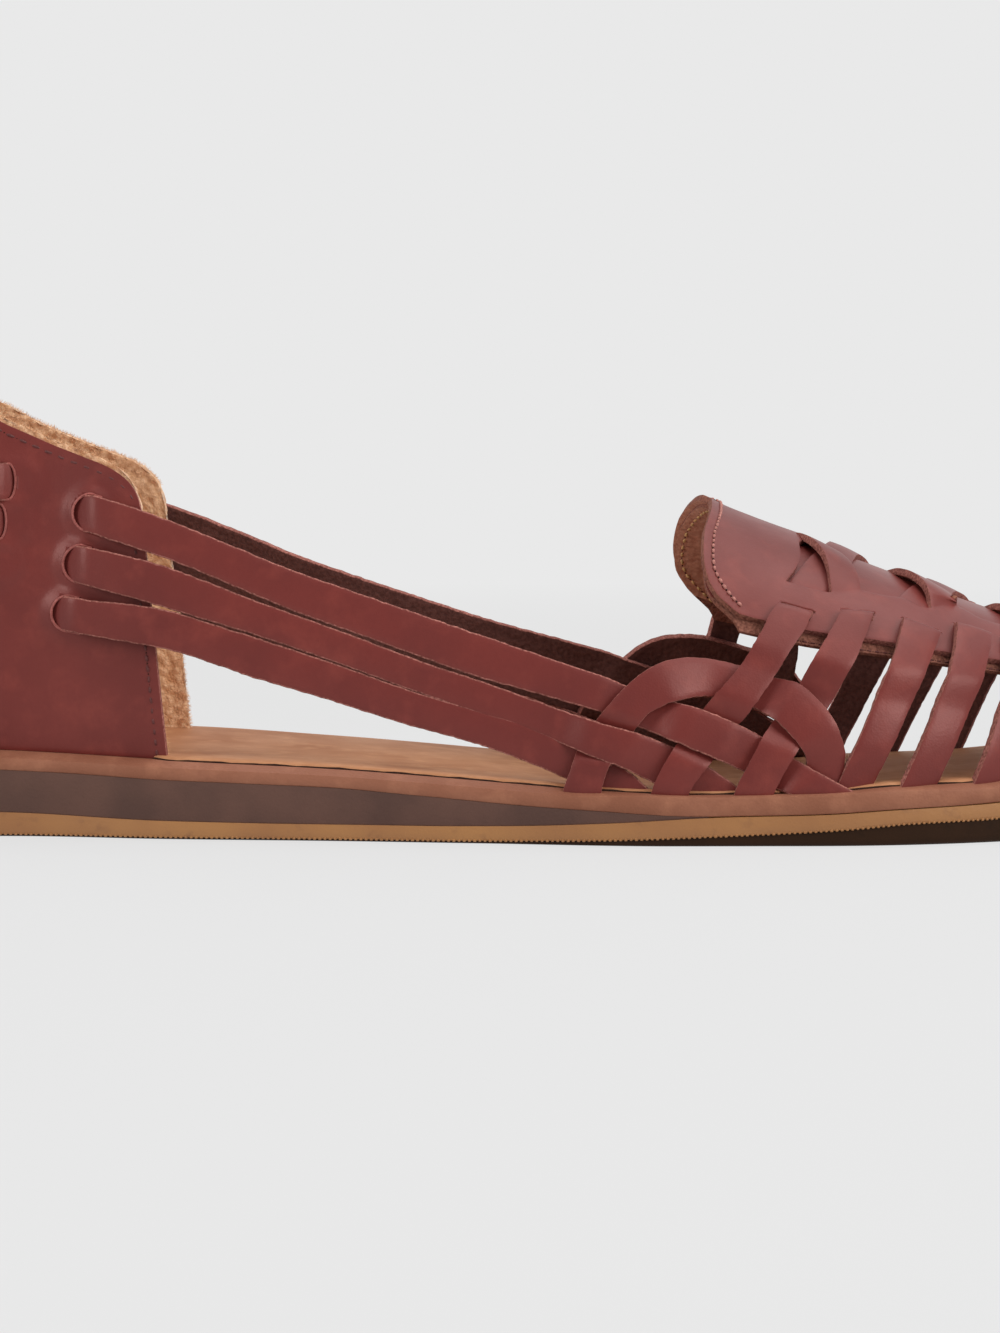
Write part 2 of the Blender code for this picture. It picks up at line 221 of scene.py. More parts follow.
# Rounds of the two searches on the skin
NEWTON_STEPS = 12
HALVINGS = 22


def find_on_skin(side, x, z):
    """Station and v of the skin's point with this x and z in the side view."""
    station, rise = x, 0.3
    for _ in range(NEWTON_STEPS):
        here = skin(station, side * (1 - rise))
        ahead = skin(station + 0.1, side * (1 - rise))
        above = skin(station, side * (0.999 - rise))
        a, b = (ahead[0] - here[0]) / 0.1, (above[0] - here[0]) / 0.001
        c, d = (ahead[2] - here[2]) / 0.1, (above[2] - here[2]) / 0.001
        dx, dz = x - here[0], z - here[2]
        share = a * d - b * c
        station += max(-8.0, min(8.0, (dx * d - dz * b) / share))
        rise += max(-0.1, min(0.1, (dz * a - dx * c) / share))
        rise = max(-0.3, min(0.97, rise))
    return station, side * (1 - rise)


def station_at(x, v):
    """Station whose meridian crosses this x at this v."""
    if x <= TOE_START:
        return x
    low, high = TOE_START, TOE_TIP
    for _ in range(HALVINGS):
        middle = (low + high) / 2
        if skin(middle, v)[0] < x:
            low = middle
        else:
            high = middle
    return (low + high) / 2


def spread(first, last, count):
    """Even steps from the first value to the last, both included."""
    return [first + (last - first) * i / count for i in range(count + 1)]


def ease(u):
    """Smooth step from 0 to 1."""
    u = clamp(u)
    return u * u * (3 - 2 * u)


print("ridge at the braid:", [round(c, 1) for c in skin(55.0, 0.0)])

# %% [markdown]
# ## Meshes
# A piece could be sculpted, or made with modifiers from a plane. Nearly every piece here is a
# grid of points on the last, so one helper turns points and faces into a mesh, and another gives
# a leather sheet its thickness, its rounded cut edge and its three finishes: grain outside, flesh
# inside, and the raw cut edge between them.


# %% Mesh helpers
def make_piece(name, points, faces, materials, smooth_angle=38):
    """Mesh object from points in millimetres, shaded smooth but for edges past an angle."""
    mesh = bpy.data.meshes.new(name)
    mesh.from_pydata([[c * MM for c in point] for point in points], [], faces)
    mesh.validate()
    for material in materials:
        mesh.materials.append(material)
    mesh.shade_smooth()
    mesh.set_sharp_from_angle(angle=math.radians(smooth_angle))
    obj = bpy.data.objects.new(name, mesh)
    bpy.context.scene.collection.objects.link(obj)
    return obj


def grid_faces(rows, columns, first=0, flip=False):
    """Quads of a grid whose points are listed row by row."""
    faces = []
    for i in range(rows - 1):
        for j in range(columns - 1):
            a = first + i * columns + j
            quad = (a, a + 1, a + columns + 1, a + columns)
            faces.append(quad[::-1] if flip else quad)
    return faces


def ring_faces(rings, loop, first=0):
    """Quads between closed rings whose points are listed ring by ring."""
    faces = []
    for ring in range(rings - 1):
        for i in range(loop):
            a, b = first + ring * loop + i, first + ring * loop + (i + 1) % loop
            faces.append((a, b, b + loop, a + loop))
    return faces


def slab_faces(rings, loop, first, flip):
    """Faces of a closed slab: walls from ring to ring, and a lid on the first and the last."""
    last = first + (rings - 1) * loop
    faces = ring_faces(rings, loop, first)
    faces.append(tuple(range(first, first + loop))[::-1])
    faces.append(tuple(range(last, last + loop)))
    return [face[::-1] for face in faces] if flip else faces


def apply_modifiers(obj):
    """Replaces the object's mesh with its evaluated one and removes its modifiers."""
    graph = bpy.context.evaluated_depsgraph_get()
    baked = bpy.data.meshes.new_from_object(obj.evaluated_get(graph))
    baked.name = obj.name
    obj.modifiers.clear()
    obj.data = baked
    return obj


def add_modifier(obj, kind, **settings):
    """Adds a modifier of this kind with its settings."""
    modifier = obj.modifiers.new(kind.lower(), kind)
    for name, value in settings.items():
        setattr(modifier, name, value)


def thicken(obj, thickness, edge=0.28, rim_slot=2, inner_slot=1, segments=2):
    """Gives a sheet a wall inwards and rounds its cut edge. Faces of the sheet point out."""
    slots = {"material_offset": inner_slot, "material_offset_rim": rim_slot}
    add_modifier(obj, "SOLIDIFY", thickness=thickness * MM, offset=-1.0, **slots)
    sharp = {"limit_method": "ANGLE", "angle_limit": math.radians(55)}
    add_modifier(obj, "BEVEL", width=edge * MM, segments=segments, material=rim_slot, **sharp)
    apply_modifiers(obj)
    obj.data.shade_smooth()
    obj.data.set_sharp_from_angle(angle=math.radians(50))
    return obj


def merge_close(obj):
    """Merges points that coincide, as where a grid closes on itself."""
    add_modifier(obj, "WELD", merge_threshold=0.001 * MM)
    return apply_modifiers(obj)


def join(name, objects, smooth_angle=50):
    """Joins meshes into one piece, in which every face keeps its material."""
    points, faces, slots, materials = [], [], [], []
    for obj in objects:
        mesh, first = obj.data, len(points)
        used = [mesh.materials[i] for i in sorted({p.material_index for p in mesh.polygons})]
        materials += [m for m in used if m not in materials]
        points += [tuple(v.co / MM) for v in mesh.vertices]
        for polygon in mesh.polygons:
            faces.append(tuple(first + i for i in polygon.vertices))
            slots.append(materials.index(mesh.materials[polygon.material_index]))
        bpy.data.objects.remove(obj)
    whole = make_piece(name, points, faces, materials, smooth_angle)
    whole.data.polygons.foreach_set("material_index", slots)
    return whole


def finish_piece(obj, slot, *replaced):
    """Puts a finished piece on the shoe's one body. Its slot is not used."""
    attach(obj, "root")
    if replaced:
        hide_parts(*replaced)
    obj.data.calc_loop_triangles()
    print(f"{obj.name}: {len(obj.data.loop_triangles)} triangles")


print("faces of a 3 by 3 grid:", grid_faces(3, 3))

# %% [markdown]
# ## Finishes
# A finish could be painted on as an image. Here every finish is worked out from noise in the
# object's own coordinates, at the scale of the real thing: pores of a third of a millimetre,
# folds of a few millimetres, shade drifting over a few centimetres. One helper adds a node with
# its settings and links, and one turns a hex colour into the linear values that a shader wants.


# %% Node helpers
def linear(hex_colour):
    """Linear RGBA from an sRGB hex colour."""
    channels = [int(hex_colour[i : i + 2], 16) / 255 for i in (1, 3, 5)]
    return [c / 12.92 if c <= 0.04045 else ((c + 0.055) / 1.055) ** 2.4 for c in channels] + [1.0]


def set_inputs(tree, node, inputs):
    """Sets a node's inputs, each by name or number, to a value or to another node's output."""
    for key, value in inputs.items():
        if isinstance(value, bpy.types.NodeSocket):
            tree.links.new(value, node.inputs[key])
        else:
            node.inputs[key].default_value = value


def add_node(tree, kind, inputs=None, **settings):
    """Adds a node with its settings and its inputs."""
    node = tree.nodes.new(kind)
    for name, value in settings.items():
        setattr(node, name, value)
    set_inputs(tree, node, inputs or {})
    return node


MIX_FACTOR, MIX_A, MIX_B, MIX_RESULT = 0, 6, 7, 2


def per_mm(size):
    """Noise scale, in cycles per metre, of a pattern whose marks are this many mm apart."""
    return 1.0 / (size * MM)


def new_finish(name):
    """An empty Principled material, its tree, its shader and its object coordinates."""
    material = bpy.data.materials.new(name)
    material.use_nodes = True
    tree = material.node_tree
    shader = tree.nodes["Principled BSDF"]
    place = add_node(tree, "ShaderNodeTexCoord").outputs["Object"]
    return material, tree, shader, place


def lay_over(tree, under, mask, over, strength=1.0):
    """Lays one colour over another where the mask is 1, as strongly as the strength says."""
    if strength < 1.0:
        weaker = add_node(tree, "ShaderNodeMath", {0: mask, 1: strength}, operation="MULTIPLY")
        mask = weaker.outputs[0]
    inputs = {MIX_FACTOR: mask, MIX_A: under, MIX_B: over}
    return add_node(tree, "ShaderNodeMix", inputs, data_type="RGBA").outputs[MIX_RESULT]


def spots(tree, place, size, low, high, detail=3.0):
    """Noise with marks of this size in mm, stretched so that low turns 0 and high turns 1."""
    marks = {"Vector": place, "Scale": per_mm(size), "Detail": detail}
    wave = add_node(tree, "ShaderNodeTexNoise", marks)
    inputs = {"Value": wave.outputs["Fac"], "From Min": low, "From Max": high}
    return add_node(tree, "ShaderNodeMapRange", inputs).outputs["Result"]


def bumps(tree, shader, layers):
    """Stacks bump maps, each given as a height socket and its depth in mm."""
    normal = None
    for height, depth in layers:
        inputs = {"Height": height, "Distance": depth * MM, "Strength": 1.0}
        if normal:
            inputs["Normal"] = normal
        normal = add_node(tree, "ShaderNodeBump", inputs).outputs["Normal"]
    tree.links.new(normal, shader.inputs["Normal"])


print("linear value of a middle grey:", round(linear("#808080")[0], 3))

# %% [markdown]
# ### Leathers
# The upper is full-grain cowhide, drum dyed red-brown and finished with wax: a closed, smooth
# grain with a soft sheen, a little redder where the wax is thin. Its flesh side is dyed too but
# has no wax, so it is matt and almost black in shade, and its cut edge shows the paler core. The
# footbed is a lighter vegetable-tanned leather, and the rim of the sole is the same hide cut and
# sanded, so it is matt and pinkish. All of them come from one function, with colours, gloss and
# grain as its inputs.


# %% Leathers
def make_leather(name, main, deep, glow, gloss, tint, pore=0.4, pore_depth=0.015, fold_depth=0.035):
    """Grain leather: a main colour with deeper clouds, thin glowing patches and dyed wax."""
    material, tree, shader, place = new_finish(name)
    clouds = spots(tree, place, 16.0, 0.38, 0.66)
    streaks = spots(tree, place, 5.0, 0.5, 0.8)
    speckle = spots(tree, place, 0.9, 0.45, 0.75)
    colour = lay_over(tree, linear(main), clouds, linear(deep))
    colour = lay_over(tree, colour, streaks, linear(glow))
    colour = lay_over(tree, colour, speckle, linear(deep), 0.3)
    shine = {"Value": clouds, "To Min": gloss - 0.04, "To Max": gloss + 0.06}
    rough = add_node(tree, "ShaderNodeMapRange", shine).outputs["Result"]
    wax = {"Base Color": colour, "Roughness": rough, "Specular Tint": linear(tint)}
    set_inputs(tree, shader, wax)
    grain = {"Vector": place, "Scale": per_mm(pore)}
    cells = add_node(tree, "ShaderNodeTexVoronoi", grain, feature="F1")
    folds = spots(tree, place, 3.2, 0.2, 0.8, 2.0)
    bumps(tree, shader, [(folds, fold_depth), (cells.outputs["Distance"], pore_depth)])
    return material


def make_raw(name, light, dark, size, depth=0.08, roughness=0.9):
    """Leather without its grain, as on a cut edge or the flesh side: matt, with loose fibres."""
    material, tree, shader, place = new_finish(name)
    fibres = spots(tree, place, size, 0.32, 0.68, 4.0)
    patches = spots(tree, place, 7.0, 0.35, 0.65)
    colour = lay_over(tree, linear(dark), fibres, linear(light))
    colour = lay_over(tree, colour, patches, linear(dark), 0.35)
    matt = {"Base Color": colour, "Roughness": roughness, "Specular IOR Level": 0.2}
    set_inputs(tree, shader, matt)
    bumps(tree, shader, [(fibres, depth)])
    return material


waxed_leather = make_leather("waxed_grain_leather", "#6f2f2b", "#652926", "#79352f", 0.4, "#f0c4bc")
cut_edge = make_raw("leather_cut_edge", "#b5766a", "#6a3a33", 0.5)
# Paler, glossier lip round the slits' ends: partly the raw edge's own tone, partly a painted
# highlight
burnished_edge = make_raw("burnished_edge", "#a65f57", "#7c403a", 0.6, 0.02, 0.45)
flesh_side = make_raw("leather_flesh_side", "#64403a", "#4c2d28", 0.8, 0.1)
footbed_leather = make_leather(
    "vegetable_tanned_footbed", "#b27d59", "#a06b4a", "#bd8a65", 0.66, "#f0cfae", 0.6, 0.02, 0.03
)
rim_leather = make_leather(
    "sanded_rim_leather", "#8f5c47", "#82503c", "#9b664e", 0.62, "#ffd8c0", 0.5, 0.05, 0.08
)
# Near black, painted shade: in the crease at the footbed's foot and inside the stitch holes
seam_shade_paint = make_raw("seam_shadow", "#3a2218", "#22130d", 1.2)
print("leathers:", [m.name for m in bpy.data.materials if "leather" in m.name])

# %% [markdown]
# ### Suede, foam, gum rubber and thread
# The counter is lined with undyed split suede, whose nap stands up in small tufts about a
# millimetre across. The wedge is a dark EVA foam, skived and buffed. The outsole is natural gum
# rubber. The seams are sewn with waxed polyester thread.


# %% Suede, foam, rubber, thread
def make_suede(name, light, dark, shade):
    """Nap in tufts about a millimetre across, with painted shade in the hollows between them, and a
    faint sheen.
    """
    material, tree, shader, place = new_finish(name)
    cells = {"Vector": place, "Scale": per_mm(1.1), "Randomness": 1.0}
    tufts = add_node(tree, "ShaderNodeTexVoronoi", cells, feature="SMOOTH_F1").outputs["Distance"]
    between = {"Value": tufts, "From Min": 0.15, "From Max": 0.7}
    depth = add_node(tree, "ShaderNodeMapRange", between).outputs["Result"]
    nap = spots(tree, place, 0.45, 0.3, 0.7, 5.0)
    # The dark colour is painted shade in the hollows between the tufts, where the bump sinks
    colour = lay_over(tree, linear(light), depth, linear(dark))
    colour = lay_over(tree, colour, nap, linear(shade), 0.45)
    matt = {"Base Color": colour, "Roughness": 0.95, "Specular IOR Level": 0.15}
    set_inputs(tree, shader, matt | {"Sheen Weight": 0.25, "Sheen Roughness": 0.6})
    bumps(tree, shader, [(tufts, -0.35), (nap, 0.12)])
    return material


def make_foam(name, main, dark):
    """Foam whose skin was sanded off, so that fine open cells make it matt."""
    material, tree, shader, place = new_finish(name)
    grit = spots(tree, place, 0.6, 0.35, 0.7, 4.0)
    clouds = spots(tree, place, 12.0, 0.35, 0.65)
    colour = lay_over(tree, linear(main), clouds, linear(dark))
    buffed = {"Base Color": colour, "Roughness": 0.72, "Specular IOR Level": 0.3}
    set_inputs(tree, shader, buffed)
    bumps(tree, shader, [(grit, 0.04)])
    return material


def make_rubber(name, main, warm, dark, gloss=0.5):
    """Moulded natural rubber: amber clouds, small dark marks and a dull shine."""
    material, tree, shader, place = new_finish(name)
    clouds = spots(tree, place, 20.0, 0.35, 0.65)
    marks = spots(tree, place, 2.5, 0.6, 0.8)
    colour = lay_over(tree, linear(main), clouds, linear(warm))
    colour = lay_over(tree, colour, marks, linear(dark), 0.5)
    moulded = {"Base Color": colour, "Roughness": 0.5, "IOR": 1.52, "Specular IOR Level": gloss}
    set_inputs(tree, shader, moulded)
    bumps(tree, shader, [(spots(tree, place, 0.8, 0.3, 0.7), 0.03)])
    return material


def make_thread(name, colour):
    """Waxed thread, with painted shade in the grooves between its twisted plies."""
    material, tree, shader, place = new_finish(name)
    plies = spots(tree, place, 0.35, 0.3, 0.7)
    # Painted shade in the grooves between the plies
    ply_groove_shade = lay_over(tree, linear(colour), plies, linear("#2a1210"))
    dyed = lay_over(tree, ply_groove_shade, 0.65, linear(colour))
    set_inputs(tree, shader, {"Base Color": dyed, "Roughness": 0.65})
    bumps(tree, shader, [(plies, 0.05)])
    return material


suede = make_suede("split_suede", "#f2cba4", "#c08a60", "#d6a071")
wedge_foam = make_foam("buffed_eva_foam", "#5f4238", "#523931")
gum_rubber = make_rubber("gum_rubber", "#a06e3d", "#926137", "#774d2e")
# Near-black rubber: painted shade where the outsole curves under and on its bottom
underside_shade_rubber = make_rubber("gum_rubber_underside", "#321e10", "#2a190d", "#20130a", 0.1)
counter_thread = make_thread("waxed_thread_dark", "#5e2622")
apron_thread = make_thread("waxed_thread_pink", "#bd7c70")
lining_thread = make_thread("waxed_thread_tan", "#d6ab72")
print("materials:", len(bpy.data.materials))

# %% [markdown]
# ## Camera and light
# The shoe stands side on, close enough for its heel and toe to run out of the frame.
# The camera stands 580 mm to the side of the shoe's middle line, a little above the ankle, and
# looks slightly down. The light could be one strong lamp, but leather shows its sheen best under
# something large and soft, so there is one wide softbox overhead, one in front to the right, a
# small one in front to the left, and a pale room all round.

# %% Camera
CAMERA_PLACE = (-12.4, -580.0, 71.8)
CAMERA_DOWN = math.radians(4.185)
CAMERA_RIGHT = math.radians(0.63)
LENS = 81.02

camera_data = bpy.data.cameras.new("camera")
camera_data.sensor_width = 36.0
camera_data.lens = LENS
camera_data.clip_start = 0.01
camera_data.clip_end = 30.0
camera = bpy.data.objects.new("camera", camera_data)
camera.location = [c * MM for c in CAMERA_PLACE]
camera.rotation_euler = (math.pi / 2 - CAMERA_DOWN, 0.0, -CAMERA_RIGHT)
bpy.context.scene.collection.objects.link(camera)
bpy.context.scene.camera = camera
print(f"lens {LENS} mm, tilted {math.degrees(CAMERA_DOWN):.1f} degrees down")

# %% Room, floor and lights
BACKDROP = "#e9e9e9"
FRONT_WALL = "#8a8a8a"
PAPER = "#c4c4c4"
FLOOR_REACH = 6.0
FLOOR_GLOW = 0.78
FLOOR_FADE = (0.2, 1.0)

scene = bpy.context.scene
scene.view_settings.view_transform = "Standard"
world = bpy.data.worlds.new("studio")
scene.world = world
world.use_nodes = True
room = world.node_tree
sky = add_node(room, "ShaderNodeTexCoord").outputs["Generated"]
depth = add_node(room, "ShaderNodeSeparateXYZ", {0: sky}).outputs["Y"]
turning = {"Value": depth, "From Min": -0.25, "From Max": 0.5}
behind = add_node(room, "ShaderNodeMapRange", turning, interpolation_type="SMOOTHSTEP")
walls = lay_over(room, linear(FRONT_WALL), behind.outputs["Result"], linear(BACKDROP))
set_inputs(room, room.nodes["Background"], {"Color": walls, "Strength": 1.0})


def add_softbox(name, place, aim, size, power):
    """Rectangular area light, in metres, aimed at a point."""
    data = bpy.data.lights.new(name, "AREA")
    data.shape = "RECTANGLE"
    data.size, data.size_y = size
    data.energy = power
    lamp = bpy.data.objects.new(name, data)
    lamp.location = place
    lamp.rotation_euler = (Vector(aim) - Vector(place)).to_track_quat("-Z", "Y").to_euler()
    bpy.context.scene.collection.objects.link(lamp)


add_softbox("overhead_softbox", (0.3, -0.12, 1.0), (0.02, 0.0, 0.04), (1.2, 0.9), 7.6)
add_softbox("right_softbox", (0.95, -0.75, 0.62), (0.06, 0.0, 0.04), (0.7, 0.6), 9.0)
add_softbox("left_softbox", (-1.0, -0.6, 0.5), (-0.05, 0.0, 0.04), (0.5, 0.5), 5.6)


def make_floor():
    """A wide sheet of pale paper. Most of its tone is its own, so only contact shadows show."""
    reach = FLOOR_REACH / MM
    corners = [(x * reach, y * reach, 0.0) for x, y in ((-1, -1), (1, -1), (1, 1), (-1, 1))]
    material, tree, shader, place = new_finish("backdrop_paper")
    matt = {"Base Color": linear(PAPER), "Roughness": 1.0, "Specular IOR Level": 0.0}
    set_inputs(tree, shader, matt)
    glow = add_node(tree, "ShaderNodeEmission", {"Color": linear(BACKDROP), "Strength": 1.0})
    away = add_node(tree, "ShaderNodeVectorMath", {0: place}, operation="LENGTH")
    fade = {
        "Value": away.outputs["Value"],
        "From Min": FLOOR_FADE[0],
        "From Max": FLOOR_FADE[1],
        "To Min": FLOOR_GLOW,
        "To Max": 1.0,
    }
    share = add_node(tree, "ShaderNodeMapRange", fade).outputs["Result"]
    inputs = {0: share, 1: shader.outputs[0], 2: glow.outputs[0]}
    mixed = add_node(tree, "ShaderNodeMixShader", inputs).outputs[0]
    tree.links.new(mixed, tree.nodes["Material Output"].inputs["Surface"])
    return make_piece("paper_floor", corners, [(0, 1, 2, 3)], [material])


make_floor()

# %% [markdown]
# ## The sole
# Four layers are stuck together: a gum rubber outsole, a foam wedge that tapers out at the ball,
# a rim cut from thick leather, and the footbed. Each could be an extruded outline. A stack of
# rings drawn from the outline function is better, because every layer then keeps the toe spring
# and can have its own edge: rounded on the rim, undercut and toothed on the outsole.


# %% Rings of a layer
def sole_stations(step):
    """Stations all the way from the heel to the toe, closer together where the edge turns."""
    stations = spread(HEEL_BACK, HEEL_START, round(HEEL_RUN / step))
    stations += spread(HEEL_START, TOE_START, round((TOE_START - HEEL_START) / step))[1:]
    return stations + spread(TOE_START, TOE_TIP, round(TOE_RUN / step))[1:]


def make_layer(name, stations, rings, materials, smooth_angle=38, square_tip=False):
    """A stack of rings round the sole with a lid of strips across the first and the last ring.
    A ring is an inset of the station and a height of x. A square tip ends in two corners."""
    points = []
    way_back = stations[1:] if square_tip else stations[1:-1]
    for inset, height in rings:
        lateral = [outline(LATERAL, s, inset(s)) for s in stations]
        medial = [outline(MEDIAL, s, inset(s)) for s in reversed(way_back)]
        points += [(x, y, twisted(height(x), x, y)) for x, y in lateral + medial]
    count, loop = len(rings), len(points) // len(rings)
    faces = ring_faces(count, loop)
    half = loop // 2
    for start, flip in ((0, True), ((count - 1) * loop, False)):
        for i in range(half):
            left, right = [(start + (loop - k) % loop) for k in (i, i + 1)]
            strip = [start + i, start + i + 1, right, left]
            strip = [p for n, p in enumerate(strip) if p not in strip[:n]]
            faces.append(tuple(strip[::-1] if flip else strip))
    return make_piece(name, points, faces, materials, smooth_angle)


def constant(value):
    return lambda _: value


def raised(height, lift):
    return lambda x: height(x) + lift


print("stations from heel to toe at a step of 1.5 mm:", len(sole_stations(1.5)))


# %% Leather rim and footbed
RIM_ROUND = 0.5
RIM_LEDGE = 2.0
WEDGE_TIP = 31.0
FOOTBED_INSET = 2.5
# Past the counter's front edge the footbed runs on inside the counter
FOOTBED_STEP = 3.2
FOOTBED_PROUD = 0.7
# Rings at the footbed's foot painted near black, as the shade where it meets the rim
SHADED_FOOT_RINGS = 2
# x, and how far the rim's worn outer edge lies below its inner one
rim_wear = curve_through(((5.0, 0.9), (20.0, 0.1), (50.0, 0.1), (70.0, 0.5), (84.0, 0.85)), 1)


def rim_edge(x):
    return rim_top(x) - rim_wear(x)


def rim_bottom(x):
    return max(wedge_top(x), outsole_top(x))


def make_rim():
    """The rim is a leather board: a worn top corner, a flat sanded side and a hidden flat top."""

    def side_inset(extra):
        return lambda s: extra + 0.12 * math.sin(s * 0.21) * math.sin(s * 0.057)

    rings = [
        (constant(8.0), raised(rim_bottom, 0.15)),
        (side_inset(0.25), raised(rim_bottom, 0.05)),
        (side_inset(0.0), raised(rim_bottom, 0.35)),
        (side_inset(-0.05), lambda x: (rim_bottom(x) + rim_edge(x)) / 2),
        (side_inset(0.0), raised(rim_edge, -RIM_ROUND)),
        (side_inset(0.14), raised(rim_edge, -0.16)),
        (side_inset(RIM_ROUND), raised(rim_edge, 0.0)),
        (constant(RIM_LEDGE), raised(rim_top, 0.0)),
        (constant(9.5), raised(rim_top, -0.05)),
    ]
    return make_layer("rim", sole_stations(1.5), rings, [rim_leather])


def make_footbed():
    """Footbed with a softly rounded edge just proud of the rim, and painted shade along its foot,
    in the crease at the rim.
    """

    def inset(extra):
        return lambda s: FOOTBED_INSET + extra + FOOTBED_STEP * (1 - ease((s + 71.0) / 2.4))

    rings = [
        (inset(0.5), raised(rim_top, -0.6)),
        (inset(-0.15), raised(rim_top, 0.05)),
        (inset(0.0), lambda x: rim_top(x) + 0.28 + 0.12 * math.sin(x * 0.83) * math.sin(x * 0.31)),
        (inset(0.15), raised(rim_top, 0.5)),
        (inset(0.6), raised(rim_top, FOOTBED_PROUD)),
        (inset(3.0), raised(rim_top, FOOTBED_PROUD + 0.05)),
        (inset(14.0), raised(rim_top, FOOTBED_PROUD - 0.5)),
    ]
    stations = sole_stations(2.0)
    obj = make_layer("footbed", stations, rings, [footbed_leather, seam_shade_paint])
    loop = 2 * (len(stations) - 1)
    for polygon in obj.data.polygons:
        polygon.material_index = 1 if polygon.index < SHADED_FOOT_RINGS * loop else 0
    return obj


finish_piece(make_rim(), "rim_leather", "midsole_leather")
finish_piece(make_footbed(), "insole_leather", "insole")

# %% [markdown]
# The outsole is moulded: its side wall ends in a fine row of teeth where the mould's tread meets
# the wall, and below them it curves under to the ground. Below the teeth, and on its bottom, the
# gum is painted near black as shade. The teeth repeat along the edge, so a
# Geometry Nodes tree sets one small block on each point of the edge and turns it along the wall.

# %% Foam wedge and outsole
# x, height of the toothed line: close to the ground at the heel, higher from the ball on
TREAD_LINE = (
    (-127.5, 2.1), (-118.0, 0.45), (-20.0, 0.5), (4.0, 0.85), (31.0, 1.8), (54.0, 2.9),
    (69.0, 4.0), (84.0, 4.4), (127.5, 9.0),
)
tread_line = curve_through(TREAD_LINE, 1)
# Rings from the bottom up to the teeth, painted in shade
UNDERSIDE_SHADE_RINGS = 4


def make_wedge():
    stations = [s for s in sole_stations(2.0) if s < WEDGE_TIP] + [WEDGE_TIP]
    rings = [
        (constant(0.25), raised(outsole_top, -0.1)),
        (constant(0.15), lambda x: outsole_top(x) + 0.15),
        (constant(0.1), lambda x: max(wedge_top(x), outsole_top(x) + 0.05)),
        (constant(0.3), lambda x: max(wedge_top(x) + 0.1, outsole_top(x) + 0.05)),
    ]
    return make_layer("wedge", stations, rings, [wedge_foam], square_tip=True)


def tread_bottom(x):
    """The tread's edge is pressed flat a little further forward than the middle of the sole."""
    return outsole_bottom(x) * (1.0 if x < 0 else ease((x - 84.0) / 36.0))


def make_outsole():
    def below_line(share):
        return lambda x: tread_bottom(x) + share * (tread_line(x) - tread_bottom(x))

    rings = [
        (constant(9.0), below_line(0.0)),
        (constant(1.1), below_line(0.0)),
        (constant(0.6), below_line(0.1)),
        (constant(0.42), below_line(0.35)),
        (constant(0.35), raised(tread_line, -0.02)),
        (constant(0.1), raised(tread_line, 0.1)),
        (constant(0.0), raised(tread_line, 0.5)),
        (constant(-0.05), lambda x: (outsole_top(x) + tread_line(x)) / 2),
        (constant(0.05), raised(outsole_top, -0.1)),
        (constant(1.0), raised(outsole_top, 0.0)),
    ]
    stations = sole_stations(1.5)
    obj = make_layer("outsole_gum", stations, rings, [gum_rubber, underside_shade_rubber], 50)
    loop = 2 * (len(stations) - 1)
    # Below the teeth, and on the bottom's downward faces: painted shade
    for polygon in obj.data.polygons:
        under = polygon.index >= (len(rings) - 1) * loop and polygon.normal.z < 0
        polygon.material_index = 1 if polygon.index < UNDERSIDE_SHADE_RINGS * loop or under else 0
    return obj


finish_piece(make_wedge(), "wedge_foam", "midsole_wedge")
finish_piece(make_outsole(), "gum_rubber", "outsole")

# %% [markdown]
# ## Straps
# A strap could be a curve with a bevel, but a leather strap has two edges that don't run
# parallel: it widens where it is pressed and narrows where it is pulled. So a strap is a list of
# rungs, each naming a point on one edge and the point across from it on the other, in the side
# view. A smooth curve runs through the rungs, and the sheet between the edges follows the last.
# Where two straps cross, one is lifted and the other pushed in by half a strap's thickness.

# %% Strap helpers
STRAP_THICKNESS = 1.8
STRAP_HALF = 3.5
STRAP_STEP = 0.8
STRAP_ACROSS = 6
STRAP_CROWN = 0.16
# Lift of a strap over another one, and how far its cut edges stray
LIFT = 0.98
RAGGED = 0.07
# Share of the way between two crossings after which the lift changes, and the share it takes
LEVEL_SHARE, CHANGE_SHARE = 0.24, 0.52


def smooth_rungs(rungs):
    """Rungs at an even step along a smooth curve through the given ones, and its length."""
    rungs = np.array(rungs, float)
    middles = [skin((a + c) / 2, (b + d) / 2) for a, b, c, d in rungs]
    gaps = np.array([math.dist(p, q) for p, q in zip(middles, middles[1:])])
    knots = np.concatenate([[0.0], np.cumsum(gaps)])
    slopes = np.diff(rungs, axis=0) / gaps[:, None]
    tangents = np.vstack([slopes[:1], np.zeros((len(rungs) - 2, 4)), slopes[-1:]])
    for i in range(1, len(rungs) - 1):
        a, b = gaps[i - 1], gaps[i]
        tangents[i] = (slopes[i - 1] * b + slopes[i] * a) / (a + b)
    count = round(knots[-1] / STRAP_STEP)
    made = []
    for s in np.linspace(0.0, knots[-1], count + 1):
        i = min(len(gaps) - 1, int(np.searchsorted(knots, s, side="right")) - 1)
        u, h = (s - knots[i]) / gaps[i], gaps[i]
        row = (1 + 2 * u) * (1 - u) ** 2 * rungs[i] + u * (1 - u) ** 2 * h * tangents[i]
        row += u * u * (3 - 2 * u) * rungs[i + 1] + u * u * (u - 1) * h * tangents[i + 1]
        made.append(row)
    return made, float(knots[-1])


def on_last(side, rungs):
    """Side view rungs, as x and z of both edges, turned into station and v of both edges."""
    return [(*find_on_skin(side, a, b), *find_on_skin(side, c, d)) for a, b, c, d in rungs]


